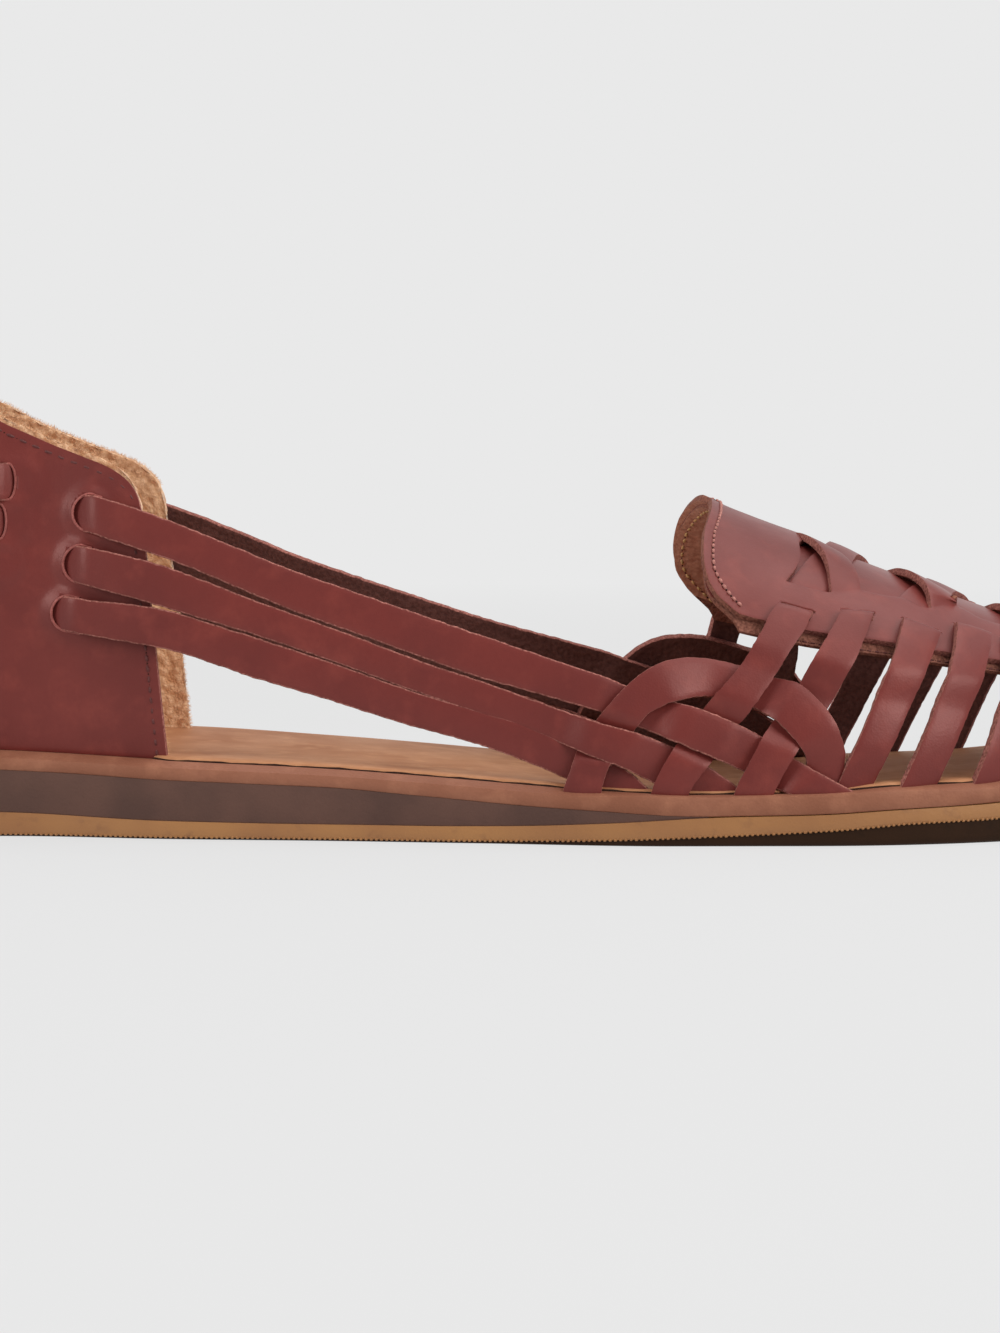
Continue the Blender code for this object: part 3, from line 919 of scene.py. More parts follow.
def lift_along(knots, s):
    """Lift at a distance along a strap: level over each knot, easing between knots."""
    if not knots or s <= knots[0][0]:
        return knots[0][1] if knots else 0.0
    for (s0, lift0), (s1, lift1) in zip(knots, knots[1:]):
        if s <= s1:
            u = (s - s0) / (s1 - s0)
            return lift0 + (lift1 - lift0) * ease((u - LEVEL_SHARE) / CHANGE_SHARE)
    return knots[-1][1]


# Whether a strap's rungs run across it clockwise or anticlockwise, seen from outside
STRAP_TURN = {"side": True, "fan": False, "arch": True}


def make_strap(name, side, rungs, lifts, ends, seed, tilt):
    """A strap. Rungs hold station and v of both edges, an end is its depth and run, and a tilt
    lifts the left edge more than the right one."""
    rows, length = smooth_rungs(rungs)
    points = []
    for i, (left_s, left_v, right_s, right_v) in enumerate(rows):
        s = length * i / (len(rows) - 1)
        lift = lift_along(lifts, s)
        for (sink, run), away in zip(ends, (s, length - s)):
            lift -= sink * (1 - ease(away / run))
        left_tear = RAGGED * noise.noise((s * 1.1, seed, 0.5))
        right_tear = RAGGED * noise.noise((s * 1.3, seed, 9.5))
        for j in range(STRAP_ACROSS + 1):
            u = j / STRAP_ACROSS
            worn = u + (left_tear * (1 - u) - right_tear * u) / STRAP_HALF
            station = left_s + (right_s - left_s) * worn
            v = left_v + (right_v - left_v) * worn
            crown = STRAP_CROWN * (1 - (2 * u - 1) ** 2) + tilt * (0.7 - u) * ease(s / 4.0)
            waver = 0.12 * noise.noise((station * 0.11, v * 6.0, seed))
            points.append(skin(station, v, LEDGE + 0.1 - lift - crown - waver))
    flip = (side == LATERAL) != STRAP_TURN[name.split("_")[0]]
    faces = grid_faces(len(rows), STRAP_ACROSS + 1, 0, flip)
    sheet = make_piece(name, points, faces, [waxed_leather, flesh_side, cut_edge])
    return thicken(sheet, STRAP_THICKNESS)


print(f"straps are {2 * STRAP_HALF} mm wide and {STRAP_THICKNESS} mm thick")


# %% [markdown]
# ### Where the straps run
# Three straps run forward on each side from slits in the heel counter. An arched strap rises
# from the sole, turns over and comes down again. Straps of the fan come down from slits in the
# apron. At the ball they are woven plainly, over one and under the next.

# %% Rungs of the woven straps
# Each rung: x and z on the upper or left edge, x and z on the lower or right edge
SIDE_RUNGS = (
    (
        (-86.0, 64.4, -87.0, 58.0), (-82.6, 63.5, -82.8, 56.5), (-65.4, 57.9, -65.3, 50.6),
        (-44.0, 49.3, -44.4, 42.0), (-21.1, 41.5, -21.6, 33.9), (-10.0, 37.8, -11.0, 30.3),
        (5.0, 32.9, 2.5, 26.6), (16.8, 29.0, 14.0, 23.3), (26.2, 25.7, 23.5, 19.4),
        (30.4, 24.3, 27.8, 17.5), (36.6, 21.8, 33.4, 15.2), (40.7, 20.0, 37.0, 13.6),
        (46.8, 15.9, 42.4, 10.6), (56.8, 10.1, 50.5, 7.2), (59.2, 8.6, 53.0, 5.6),
    ),
    (
        (-87.8, 55.0, -88.8, 48.4), (-84.4, 54.1, -84.8, 47.2), (-65.3, 49.3, -65.2, 41.7),
        (-51.2, 43.9, -51.3, 37.5), (-33.4, 37.6, -33.8, 31.6), (-19.3, 32.5, -20.0, 26.7),
        (-10.0, 29.5, -10.6, 23.6), (0.8, 25.8, 0.0, 20.2), (11.3, 22.2, 9.0, 16.4),
        (19.5, 19.9, 16.5, 13.6), (24.5, 18.1, 20.5, 11.6), (31.3, 14.3, 26.2, 8.9),
        (38.5, 9.1, 32.0, 6.0), (41.0, 7.2, 34.5, 4.2),
    ),
    (
        (-90.2, 45.6, -91.2, 39.3), (-86.8, 44.7, -87.3, 38.3), (-65.2, 41.5, -64.1, 33.9),
        (-51.1, 37.1, -51.6, 29.7), (-38.3, 33.0, -38.8, 26.0), (-22.8, 27.7, -23.4, 21.3),
        (-10.1, 24.0, -10.6, 17.9), (0.6, 20.8, -0.6, 14.4), (6.5, 18.3, 4.0, 12.5),
        (12.9, 15.3, 9.5, 9.9), (16.2, 13.8, 12.2, 8.2), (21.6, 9.1, 17.0, 5.6),
        (24.0, 7.2, 19.5, 3.8),
    ),
)
ARCH_RUNGS = (
    (4.6, 7.4, 11.6, 7.4), (5.0, 10.1, 11.9, 10.2), (6.4, 14.2, 13.1, 14.0),
    (8.3, 19.0, 15.2, 17.6), (11.0, 22.7, 17.5, 20.4), (14.5, 26.7, 20.2, 23.6),
    (18.5, 30.4, 23.2, 25.2), (23.8, 33.1, 26.6, 26.3), (30.6, 34.0, 30.6, 27.1),
    (37.5, 32.6, 35.6, 26.5), (43.8, 30.4, 40.2, 24.8), (48.0, 28.6, 43.6, 22.3),
    (52.0, 24.9, 46.2, 19.5), (54.5, 21.1, 48.0, 17.3), (55.9, 17.2, 48.9, 15.3),
    (55.8, 13.9, 48.7, 13.0), (54.6, 10.4, 47.6, 10.2), (54.0, 7.4, 47.0, 7.4),
)
FAN_RUNGS = (
    (
        (45.6, 43.6, 51.6, 41.9), (44.6, 42.2, 50.7, 40.5), (43.4, 41.0, 49.8, 38.6),
        (41.0, 37.4, 47.0, 35.1), (35.4, 30.0, 41.4, 27.6), (31.8, 26.4, 38.2, 23.5),
        (29.6, 24.0, 36.0, 21.2), (25.3, 18.2, 31.8, 15.4), (21.6, 12.1, 27.9, 10.2),
        (20.4, 8.6, 26.6, 6.8),
    ),
    (
        (57.0, 42.1, 63.0, 41.5), (56.0, 40.6, 62.1, 40.0), (52.2, 35.2, 59.0, 34.2),
        (47.9, 29.2, 54.4, 27.0), (45.0, 25.2, 51.4, 22.6), (42.0, 21.3, 48.6, 19.2),
        (39.2, 16.4, 45.6, 14.6), (36.5, 11.4, 43.2, 10.3), (35.2, 8.0, 42.0, 6.8),
    ),
)
# Straps past the weave: station at the sole, station at the apron's edge, rise of the top and
# how much higher its left corner is
FAN_FEET = (
    (56.5, 67.3, 0.527, 0.014),
    (66.8, 77.4, 0.568, 0.006),
    (79.0, 88.6, 0.565, 0.0),
    (92.0, 99.5, 0.56, 0.0),
    (106.0, 111.5, 0.55, 0.0),
    (120.5, 124.0, 0.55, 0.0),
    (135.0, 136.8, 0.55, 0.0),
    (TOE_TIP, TOE_TIP, 0.55, 0.0),
)
FAN_TILT = 0.8
# How far forward the fan's straps stand on each side, up to the station where this fades
FAN_SHIFT = {LATERAL: 0.0, MEDIAL: 3.6}
SHIFT_END = 130.0
SHIFT_FADE = 40.0
APRON_RISE = 0.385
BORDER_V = 0.608
# Rises of a fan strap's rungs below its top one
FAN_RISES = (0.45, APRON_RISE, 0.3, 0.2, 0.1, 0.0, -0.045)
# The strap round the very tip is as wide as one this far beside it
BESIDE_TIP = 6.0
# How far forward the inner side's weave is pushed, from which x on and over which run, and how
# far above a level the push turns round and by how much
MEDIAL_PUSH = 3.6
PUSH_START = -12.0
PUSH_RUN = 34.0
PUSH_HEIGHT = 14.0
PUSH_TURN = 1.7
# The level for the straps of the fan, and one that lies above all others
FAN_LEVEL = 22.0
ABOVE_ALL = 60.0
# The strap on top, the strap below it, and the x near which they cross
CROSSINGS = (
    ("arch", "side_3", 10.0),
    ("side_2", "arch", 12.5),
    ("arch", "side_1", 19.0),
    ("fan_1", "arch", 38.0),
    ("side_1", "fan_1", 34.0),
    ("fan_1", "side_2", 27.0),
    ("fan_2", "side_1", 45.0),
    ("arch", "fan_2", 50.0),
    ("side_1", "arch", 51.0),
    ("arch", "fan_3", 57.0),
)


def medial_rungs(rungs, level):
    """The same strap on the inner side, further forward in the weave but not above a level."""
    moved = []
    for x0, z0, x1, z1 in rungs:
        push = MEDIAL_PUSH * (1 - PUSH_TURN * ease(((z0 + z1) / 2 - level) / PUSH_HEIGHT))
        shift0, shift1 = (push * ease((x - PUSH_START) / PUSH_RUN) for x in (x0, x1))
        moved.append((x0 + shift0, z0, x1 + shift1, z1))
    return moved


def station_beside(station, v, distance):
    """Station that lies this far along the skin from another, at the same v."""
    near = math.dist(skin(station, v), skin(station + 1.0, v))
    return station + distance / near


def fan_rungs(side, foot, top, top_rise, skew):
    """A straight strap of the fan, from its top to below the sole's edge."""
    rungs = []
    for rise in (top_rise, *FAN_RISES):
        station = foot + (top - foot) * rise / APRON_RISE
        v = side * (1 - rise)
        if foot == top == TOE_TIP:
            beside = TOE_TIP - BESIDE_TIP
            reach = station_beside(beside, v, STRAP_HALF) - beside
            rungs.append((TOE_TIP - reach, v, TOE_TIP + reach, v))
        else:
            left = station_beside(station, v, -STRAP_HALF)
            right = station_beside(station, v, STRAP_HALF)
            turned = side * skew * ease((rise - 0.4) / 0.1)
            rungs.append((left, v - turned, right, v + turned))
    return rungs


print("woven straps a side:", len(SIDE_RUNGS) + 1 + len(FAN_RUNGS), "fan straps:", len(FAN_FEET))


# %% [markdown]
# ### Over and under
# A weaver lifts every other strap and passes the next one below it. The heights could be set by
# hand for each strap. It is safer to look for the place where two middle lines come closest and
# to push the upper strap out and the lower one in there, because then both move at one place.


# %% Find the crossings and lift the straps
CROSSING_REACH = 12


def crossing_knots(paths, lengths):
    """For each strap, its lifts as distance along it and height, from the table of crossings."""
    knots = {name: [] for name in paths}
    for top, under, near in CROSSINGS:
        best = None
        for i, a in enumerate(paths[top]):
            if abs(a[0] - near) > CROSSING_REACH:
                continue
            for k, b in enumerate(paths[under]):
                gap = math.dist(a, b)
                if best is None or gap < best[0]:
                    best = (gap, i, k)
        for name, index, lift in ((top, best[1], LIFT), (under, best[2], -LIFT)):
            run = lengths[name] * index / (len(paths[name]) - 1)
            knots[name].append((run, lift))
    return {name: sorted(found) for name, found in knots.items()}


print("crossings a side:", len(CROSSINGS))


def middle_path(rungs):
    """Middle line of a strap in the side view, its length, and how much lies on the apron."""
    rows, length = smooth_rungs(rungs)
    middles = [skin((a + c) / 2, (b + d) / 2) for a, b, c, d in rows]
    on_apron = sum(abs(b + d) / 2 < BORDER_V for _, b, _, d in rows) / len(rows)
    return [(x, z) for x, _, z in middles], length, length * on_apron


def strap_set(side):
    """All straps of one side, as name: rungs in station and v."""
    drawn = {f"side_{i + 1}": (rungs, ABOVE_ALL) for i, rungs in enumerate(SIDE_RUNGS)}
    drawn["arch"] = (ARCH_RUNGS, ABOVE_ALL)
    drawn |= {f"fan_{i + 1}": (rungs, FAN_LEVEL) for i, rungs in enumerate(FAN_RUNGS)}
    straps = {}
    for name, (rungs, level) in drawn.items():
        straps[name] = on_last(side, rungs if side == LATERAL else medial_rungs(rungs, level))
    for i, (foot, top, rise, skew) in enumerate(FAN_FEET):
        if top < TOE_TIP or side == LATERAL:
            shift = FAN_SHIFT[side] * ease((SHIFT_END - foot) / SHIFT_FADE)
            straps[f"fan_{i + 3}"] = fan_rungs(side, foot + shift, top + shift, rise, skew)
    return straps


# %% Make the straps
# Depth and run of a strap's end: in the counter's slit, in the apron's slit, in the sole
COUNTER_END = (2.9, 6.5)
APRON_END = (2.6, 2.2)
SOLE_END = (0.4, 3.2)
# Lift of a strap over the apron and past it, and the run from one to the other
OVER_APRON = 1.75
OVER_LAST = 0.1
APRON_FALL = 15.0
# A side strap lies level up to this far before its first crossing
SIDE_LEVEL = 11.0
DRAWN_FANS = ("fan_1", "fan_2")
fan_tops = []


def make_straps():
    """Every strap of both sides, by the first word of its name."""
    made = {"side": [], "arch": [], "fan": []}
    for side, word in ((LATERAL, "lateral"), (MEDIAL, "medial")):
        straps = strap_set(side)
        measured = {name: middle_path(rungs) for name, rungs in straps.items()}
        paths = {name: path for name, (path, _, _) in measured.items()}
        knots = crossing_knots(paths, {name: length for name, (_, length, _) in measured.items()})
        for n, (name, rungs) in enumerate(straps.items()):
            kind = name.split("_")[0]
            lifts = knots[name]
            if kind == "side":
                lifts = [(lifts[0][0] - SIDE_LEVEL, 0.0), *lifts]
                ends = (COUNTER_END, SOLE_END)
            elif kind == "fan":
                fan_tops.append(rungs[0])
                _, length, on_apron = measured[name]
                if name not in DRAWN_FANS:
                    lifts = [(on_apron + APRON_FALL, OVER_LAST), *(lifts or [(length, OVER_LAST)])]
                lifts = [(on_apron, OVER_APRON), *lifts]
                ends = (APRON_END, SOLE_END)
            else:
                ends = (SOLE_END, SOLE_END)
            tilt = FAN_TILT if kind == "fan" and name not in DRAWN_FANS else 0.0
            seed = n + 20.0 * side
            made[kind].append(make_strap(f"{name}_{word}", side, rungs, lifts, ends, seed, tilt))
    return made


straps = make_straps()
for kind, pieces in straps.items():
    finish_piece(join(f"{kind}_straps", pieces), "upper_leather")

# %% [markdown]
# ## Heel counter
# The counter is one piece of leather bent round the heel and lined with thick suede. The straps
# pass through slits in it, and the leather stands up in a lip round the end of each slit, where
# the strap pushes it out. A flat pattern bent by modifiers would lose track of the slits, so the
# counter is a fine grid on the last, a relief function raises the lips, and a Boolean cuts the
# slits clean through.

# %% Counter shape
COUNTER_WALL = 1.3
LINING_WALL = 2.1
LINING_PROUD = 0.9
LINING_ROUND = 0.85
# Size and depth of the tufts that make the suede's surface uneven
LINING_TUFTS = ((1.3, 0.28), (0.75, 0.22))
HEEL_TOP = 65.4
HEEL_PITCH = 7.3
counter_top_station = curve_through(COUNTER_OUTLINE, 1)
counter_top_height = curve_through(COUNTER_OUTLINE, 2)
COUNTER_FRONT = COUNTER_OUTLINE[-1][0]

# End of each slit: x and z of its centre, half height and roundness of the end, the way its
# strap runs and the slope
STRAP_SLITS = (
    (-81.6, 59.7, 3.5, 3.5, 1.0, -0.37),
    (-83.4, 50.3, 3.5, 3.5, 1.0, -0.3),
    (-85.8, 41.2, 3.3, 3.3, 1.0, -0.22),
    (-97.2, HEEL_TOP, 3.3, 1.4, -1.0, -0.04),
    (-98.9, HEEL_TOP - HEEL_PITCH, 3.3, 1.4, -1.0, -0.04),
    (-100.6, HEEL_TOP - 2 * HEEL_PITCH, 3.3, 1.4, -1.0, -0.04),
)
LIP_HEIGHT = {1.0: 0.95, -1.0: 0.5}
LIP_WIDTH = 1.4
# Past a slit's end the lip keeps its height for the first length and fades over the second
LIP_KEEP, LIP_FADE = 0.5, 5.0
SLIT_RUN = 2.0
# How far from the shoe's middle plane a cutter starts and ends
CUTTER_REACH = (60.0, 9.0)


def counter_relief(x, z):
    """How far the leather stands out at a place in the side view, from the slits in it."""
    lift = 0.0
    for centre_x, centre_z, half, end, way, slope in STRAP_SLITS:
        run = max(0.0, (x - centre_x) * way)
        across = z - centre_z - run * slope * way
        past = min(0.0, (x - centre_x) * way + half - end)
        away = math.hypot(past, across) - half
        fade = 1.0 - ease((run - LIP_KEEP) / LIP_FADE)
        lift += LIP_HEIGHT[way] * fade * math.exp(-((max(0.0, away) / LIP_WIDTH) ** 2))
    return lift


def rise_at(side, station, z, inset):
    """How far up the last's skin this height is, from 0 at the sole to 1 on the ridge."""
    x, y = outline(side, station, inset)
    base = twisted(rim_top(x), x, y) + GAP
    top = ridge_height(spine_x(station)) - inset + LEDGE
    return math.asin((z - base) / (top - base)) / QUARTER


def on_counter(side, station, z, inset):
    """Point on the last's skin at this station and height."""
    return skin(station, side * (1 - rise_at(side, station, z, inset)), inset)


# How far in front of its outline the front edge of the leather and of the lining stands, or
# behind it where the value is negative
LEATHER_FRONT = {LATERAL: 0.0, MEDIAL: -0.8}
LINING_FRONT = {LATERAL: -0.4, MEDIAL: -0.4}
FRONT_FADE = 10.0
COUNTER_STEP = 0.8
COUNTER_ROWS = round(56.0 / COUNTER_STEP)
# The grid's columns stand closer together along the front edge, this far behind it
FRONT_COLUMNS = (0.0, 0.35, 0.8, 1.4, 2.0, 2.7)
FIRST_EVEN_COLUMN = 3.4
FOOT_SINK = 0.25


def counter_columns():
    """Side and bottom station of the grid's columns, round the heel from front to front."""
    count = round((COUNTER_FRONT - HEEL_BACK) / COUNTER_STEP)
    bottoms = [COUNTER_FRONT - behind for behind in FRONT_COLUMNS]
    bottoms += spread(COUNTER_FRONT - FIRST_EVEN_COLUMN, HEEL_BACK, count)
    return [(LATERAL, b) for b in bottoms] + [(MEDIAL, b) for b in reversed(bottoms[:-1])]


def counter_sheet(name, inset, materials, fronts, proud=0.0, relief=None):
    """Grid from the lateral front edge round the heel to the medial one."""
    columns = counter_columns()
    points = []
    for side, bottom in columns:
        top_station = counter_top_station(bottom)
        height = counter_top_height(bottom) + proud
        for u in spread(0.0, 1.0, COUNTER_ROWS):
            station = bottom + (top_station - bottom) * u
            station += fronts[side] * ease((bottom - COUNTER_FRONT + FRONT_FADE) / FRONT_FADE)
            base = skin(station, side, inset)[2] - FOOT_SINK
            z = max(base + (height - base) * u, base + FOOT_SINK)
            here = on_counter(side, station, z, inset)
            if relief:
                here = on_counter(side, station, z, inset - relief(here[0], z))
            points.append((here[0], here[1], base + (height - base) * u))
    return make_piece(name, points, grid_faces(len(columns), COUNTER_ROWS + 1), materials)


print("columns and rows of the counter's grid:", len(counter_columns()), COUNTER_ROWS + 1)


# %% Uneven surfaces and cuts
def roughen(obj, marks):
    """Moves points along their normals by noise, given as pairs of mark size and depth in mm."""
    moved = []
    for vertex in obj.data.vertices:
        push = sum(depth * noise.noise(vertex.co / MM / size) for size, depth in marks)
        moved.extend(vertex.co + vertex.normal * push * MM)
    obj.data.vertices.foreach_set("co", moved)
    obj.data.update()
    return obj


def waver(x, z):
    """The slits' relief and the slight unevenness of a moulded leather wall."""
    return counter_relief(x, z) + 0.25 * noise.noise((x * 0.06, z * 0.07, 3.0))


def slit_outline(slit, steps):
    """X and z round a slit: an arc of this many steps, then the two corners of its open end."""
    centre_x, centre_z, half, end, way, slope = slit
    places = []
    for i in range(steps + 1):
        angle = QUARTER + math.pi * i / steps
        places.append((centre_x + way * end * math.cos(angle), centre_z + half * math.sin(angle)))
    for height in (-half, half):
        places.append((centre_x + way * SLIT_RUN, centre_z + SLIT_RUN * slope + height))
    return places


def slit_cutter():
    """Round-ended slabs, one through each side wall at every slit."""
    points, faces = [], []
    for slit in STRAP_SLITS:
        places, way = slit_outline(slit, 16), slit[4]
        for side in (LATERAL, MEDIAL):
            faces += slab_faces(2, len(places), len(points), side * way < 0)
            for y in CUTTER_REACH:
                points += [(x, side * y, z) for x, z in places]
    return make_piece("slit_cutter", points, faces, [cut_edge])


def cut_away(obj, cutter):
    """Cuts the cutter out of the piece and removes it."""
    add_modifier(obj, "BOOLEAN", operation="DIFFERENCE", object=cutter, solver="MANIFOLD")
    apply_modifiers(obj)
    bpy.data.objects.remove(cutter)
    return obj


# %% Make the counter and its lining
hide = [waxed_leather, flesh_side, cut_edge]
counter = counter_sheet("counter_leather", COUNTER_INSET, hide, LEATHER_FRONT, relief=waver)
thicken(counter, COUNTER_WALL)
cut_away(counter, slit_cutter())
finish_piece(counter, "upper_leather", "heel_counter")

lining_inset = COUNTER_INSET + COUNTER_WALL
lining = counter_sheet("counter_lining", lining_inset, [suede], LINING_FRONT, LINING_PROUD)
thicken(lining, LINING_WALL, LINING_ROUND, 0, 0, 3)
roughen(lining, LINING_TUFTS)
finish_piece(lining, "lining_suede")

# %% [markdown]
# ### Straps round the heel
# The side straps go into the counter's front slits, and three straps come out of the slits
# further back and run round the heel. They could be drawn as rungs too, but they are straight
# and level, so a height and the station of their tip say it all.

# %% Straps round the heel
# How much a strap rises towards the back of the heel, and over which run
HEEL_STRAP_RISE = 1.5
RISE_RUN = 35.0
HEEL_STRAP_LIFT = 2.1
HEEL_SINK_RUN = 4.5
HEEL_STEP = 0.9
HEEL_TIPS = (-94.9, -96.6, -98.3)


def make_heel_strap(name, tip, middle_z, seed):
    """A level strap round the heel, from the slit on one side to the slit on the other."""
    half_run = spread(tip, HEEL_BACK, round((tip - HEEL_BACK) / HEEL_STEP))
    path = [(LATERAL, s) for s in half_run] + [(MEDIAL, s) for s in reversed(half_run[:-1])]
    points = []
    for i, (side, station) in enumerate(path):
        from_end = min(i, len(path) - 1 - i) * HEEL_STEP
        climb = HEEL_STRAP_RISE * ease((tip - station) / RISE_RUN)
        sink = COUNTER_END[0] * (1 - ease(from_end / HEEL_SINK_RUN))
        for u in spread(-1.0, 1.0, STRAP_ACROSS):
            lift = HEEL_STRAP_LIFT + STRAP_CROWN * (1 - u * u) - sink
            lift += 0.1 * noise.noise((i * 0.1, u, seed))
            z = middle_z + climb + STRAP_HALF * u
            points.append(on_counter(side, station, z, COUNTER_INSET - lift))
    sheet = make_piece(name, points, grid_faces(len(path), STRAP_ACROSS + 1), hide)
    return thicken(sheet, STRAP_THICKNESS)


heel_straps = []
for i, tip in enumerate(HEEL_TIPS):
    heel_straps.append(make_heel_strap(f"heel_{i}", tip, HEEL_TOP - HEEL_PITCH * i, i))
finish_piece(join("heel_straps", heel_straps), "upper_leather")

# %% [markdown]
# ## Apron
# The apron is the tongue-like piece on top of the foot. Down its middle it is cut into tongues
# that are braided: a tongue from the near side passes over the ridge and under the far side, and
# one from the far side comes back under it. It could be carved into one thick surface, but then
# nothing would lie under anything. Here it is a sheet with a long window, each tongue grows out
# of the window's edge, and a thinner under layer closes the window from below.

# %% Apron sizes
APRON_WALL = 1.35
UNDER_INSET = LEDGE + 1.4
UNDER_WALL = 0.8
APRON_V = 0.574
BRAID_PITCH = 19.1
# Back edge of the apron in the side view, from the ridge down to its lower corner
BACK_EDGE = (
    (34.3, 60.6), (33.0, 58.2), (32.0, 56.1), (31.4, 51.7), (31.5, 47.9), (32.3, 45.4),
    (33.8, 43.7), (35.8, 41.9), (39.0, 39.9), (40.6, 38.3),
)
WINDOW_END = 122.0
# station, v of the window's edge. Past its end the rows only guide the grid.
WINDOW_EDGE = (
    (40.0, 0.42), (54.0, 0.425), (58.0, 0.405), (61.3, 0.378), (65.7, 0.374), (70.0, 0.36),
    (73.6, 0.382), (79.0, 0.338), (83.7, 0.305), (86.9, 0.346), (91.3, 0.359), (97.0, 0.34),
    (104.0, 0.3), (109.0, 0.25), (114.0, 0.18), (118.5, 0.1), (WINDOW_END, 0.012),
    (TOE_TIP + 10.0, 0.4),
)
# A tongue from the near side: v, x of its back edge, x of its front edge, and its lift
NEAR_TONGUE = (
    (-0.39, 55.2, 60.8, 0.0),
    (-0.34, 55.2, 60.8, 0.6),
    (-0.27, 54.6, 60.2, 1.1),
    (-0.19, 53.2, 58.8, 0.75),
    (-0.12, 51.8, 57.6, -0.15),
    (-0.04, 50.4, 56.4, -1.2),
    (0.04, 49.2, 55.2, -1.7),
    (0.12, 48.0, 54.0, -1.8),
)
# A tongue from the far side, in the same columns
FAR_TONGUE = (
    (0.39, 64.4, 70.2, 0.0),
    (0.34, 63.8, 69.6, 0.5),
    (0.27, 62.6, 68.6, 0.9),
    (0.16, 60.8, 66.8, 0.6),
    (0.05, 59.0, 64.8, 0.2),
    (-0.06, 57.4, 63.0, 0.0),
    (-0.16, 55.2, 61.4, -0.35),
    (-0.26, 52.2, 59.6, -0.5),
    (-0.34, 49.8, 57.6, -0.65),
    (-0.41, 47.4, 54.8, -1.05),
    (-0.45, 46.4, 53.6, -1.5),
)
# How far the back edge of a near and of a far tongue stands up
TONGUE_LEAN = {LATERAL: 1.0, MEDIAL: 0.5}
TONGUE_CROWN = 0.25
# Rows of points in a tongue for each unit of v, and how many of them its root, its crown and its
# lean take to come in
TONGUE_ROWS = 75
ROOT_ROWS, CROWN_ROWS, LEAN_ROWS = 7.0, 6.0, 9.0
# A root may reach this far past the tongue's own edges
ROOT_REACH = 0.4
# The third tongue is narrower, and grows from the edge only behind the v where it turns inwards
LAST_BREADTH = 0.62
EDGE_TURNS = 0.25
# v and station of the window's back end
WINDOW_BACK = (
    (-0.43, 46.6), (-0.384, 48.0), (-0.339, 49.3), (-0.27, 50.4), (-0.19, 50.8),
    (-0.13, 52.6), (-0.07, 54.6), (0.0, 55.8), (0.07, 55.6), (0.18, 53.0), (0.28, 49.5),
    (0.42, 44.6),
)
WINDOW_START = WINDOW_BACK[0][1]
# On the inner side the window's waves lag behind, and fade from a station on over this run
WAVE_LAG = 9.5
WAVE_FADE = (92.0, 22.0)
window_back = curve_through(WINDOW_BACK, 1)
window_half = curve_through(WINDOW_EDGE, 1)
back_rows = [(0.0, 34.9)]
back_rows += sorted((abs(v), s) for s, v in (find_on_skin(LATERAL, x, z) for x, z in BACK_EDGE))
back_station = curve_through(back_rows, 1)
print("apron's back edge:", [tuple(round(c, 2) for c in row) for row in back_rows])


def window_v(side, station):
    """V of the window's edge on this side."""
    if side == LATERAL:
        return -window_half(station)
    fade = ease((station - WAVE_FADE[0]) / WAVE_FADE[1])
    return window_half(station - WAVE_LAG) * (1 - fade) + window_half(station) * fade


# %% Sheet of the apron
CORNER_ROUND = 1.2
EDGE_STEP = 1.2
BACK_ROLL = 0.12
# v, and how much further back than the outer half the inner half reaches
MEDIAL_EXTRA = (
    (0.0, 0.0), (0.03, 1.1), (0.25, 2.2), (0.42, 2.1), (0.48, 1.8), (0.54, 0.0),
    (0.6, -0.5),
)
medial_extra = curve_through(MEDIAL_EXTRA, 1)
# Rows of the sheet behind the window, and the step between the rows in front of its back end
ROWS_BEHIND = 20
APRON_STEP = 0.85
# The rows bend round the window's back end and are straight again after this run
BEND_RUN = 16.0
SIDE_COLUMNS = 16
MIDDLE_COLUMNS = 44


def apron_columns(station_of_edge):
    """The v of every column of the sheet, at the row that meets the window at this station."""
    near, far = (window_v(side, station_of_edge) for side in (LATERAL, MEDIAL))
    columns = spread(-APRON_V, near, SIDE_COLUMNS)
    columns += spread(near, far, MIDDLE_COLUMNS)[1:-1]
    return columns + spread(far, APRON_V, SIDE_COLUMNS)


def apron_start(v, step=EDGE_STEP):
    """The apron's back edge. The under layer shows past it along the lower curve by a step."""
    extra = medial_extra(v) - CORNER_ROUND * ease((abs(v) - APRON_V) / (BORDER_V - APRON_V))
    return back_station(min(APRON_V, abs(v))) - extra + step * ease((abs(v) - 0.45) / 0.12)


def apron_swell(station, v):
    """Soft unevenness of the apron, and a slight roll outwards at its back edge."""
    lip = BACK_ROLL * math.exp(-(((station - apron_start(v)) / 2.0) ** 2))
    v *= 1 - ease((station - 120.0) / 30.0)
    return lip + 0.18 * noise.noise((station * 0.09, v * 5.0, 7.0))


def apron_grid():
    """Points of the sheet row by row, and for each row whether the window is open there."""
    rows = []
    for share in spread(0.0, 1.0, ROWS_BEHIND)[:-1]:
        row = []
        for v in apron_columns(WINDOW_START):
            start = apron_start(v)
            row.append((start + (window_back(v) - start) * share, v))
        rows.append((row, False))
    for station in spread(WINDOW_START, TOE_TIP, round((TOE_TIP - WINDOW_START) / APRON_STEP)):
        bend = 1 - ease((station - WINDOW_START) / BEND_RUN)
        row = []
        for v in apron_columns(station):
            lead = (window_back(v) - WINDOW_START) * bend
            row.append((min(TOE_TIP, station + lead), v))
        rows.append((row, station < WINDOW_END))
    return rows


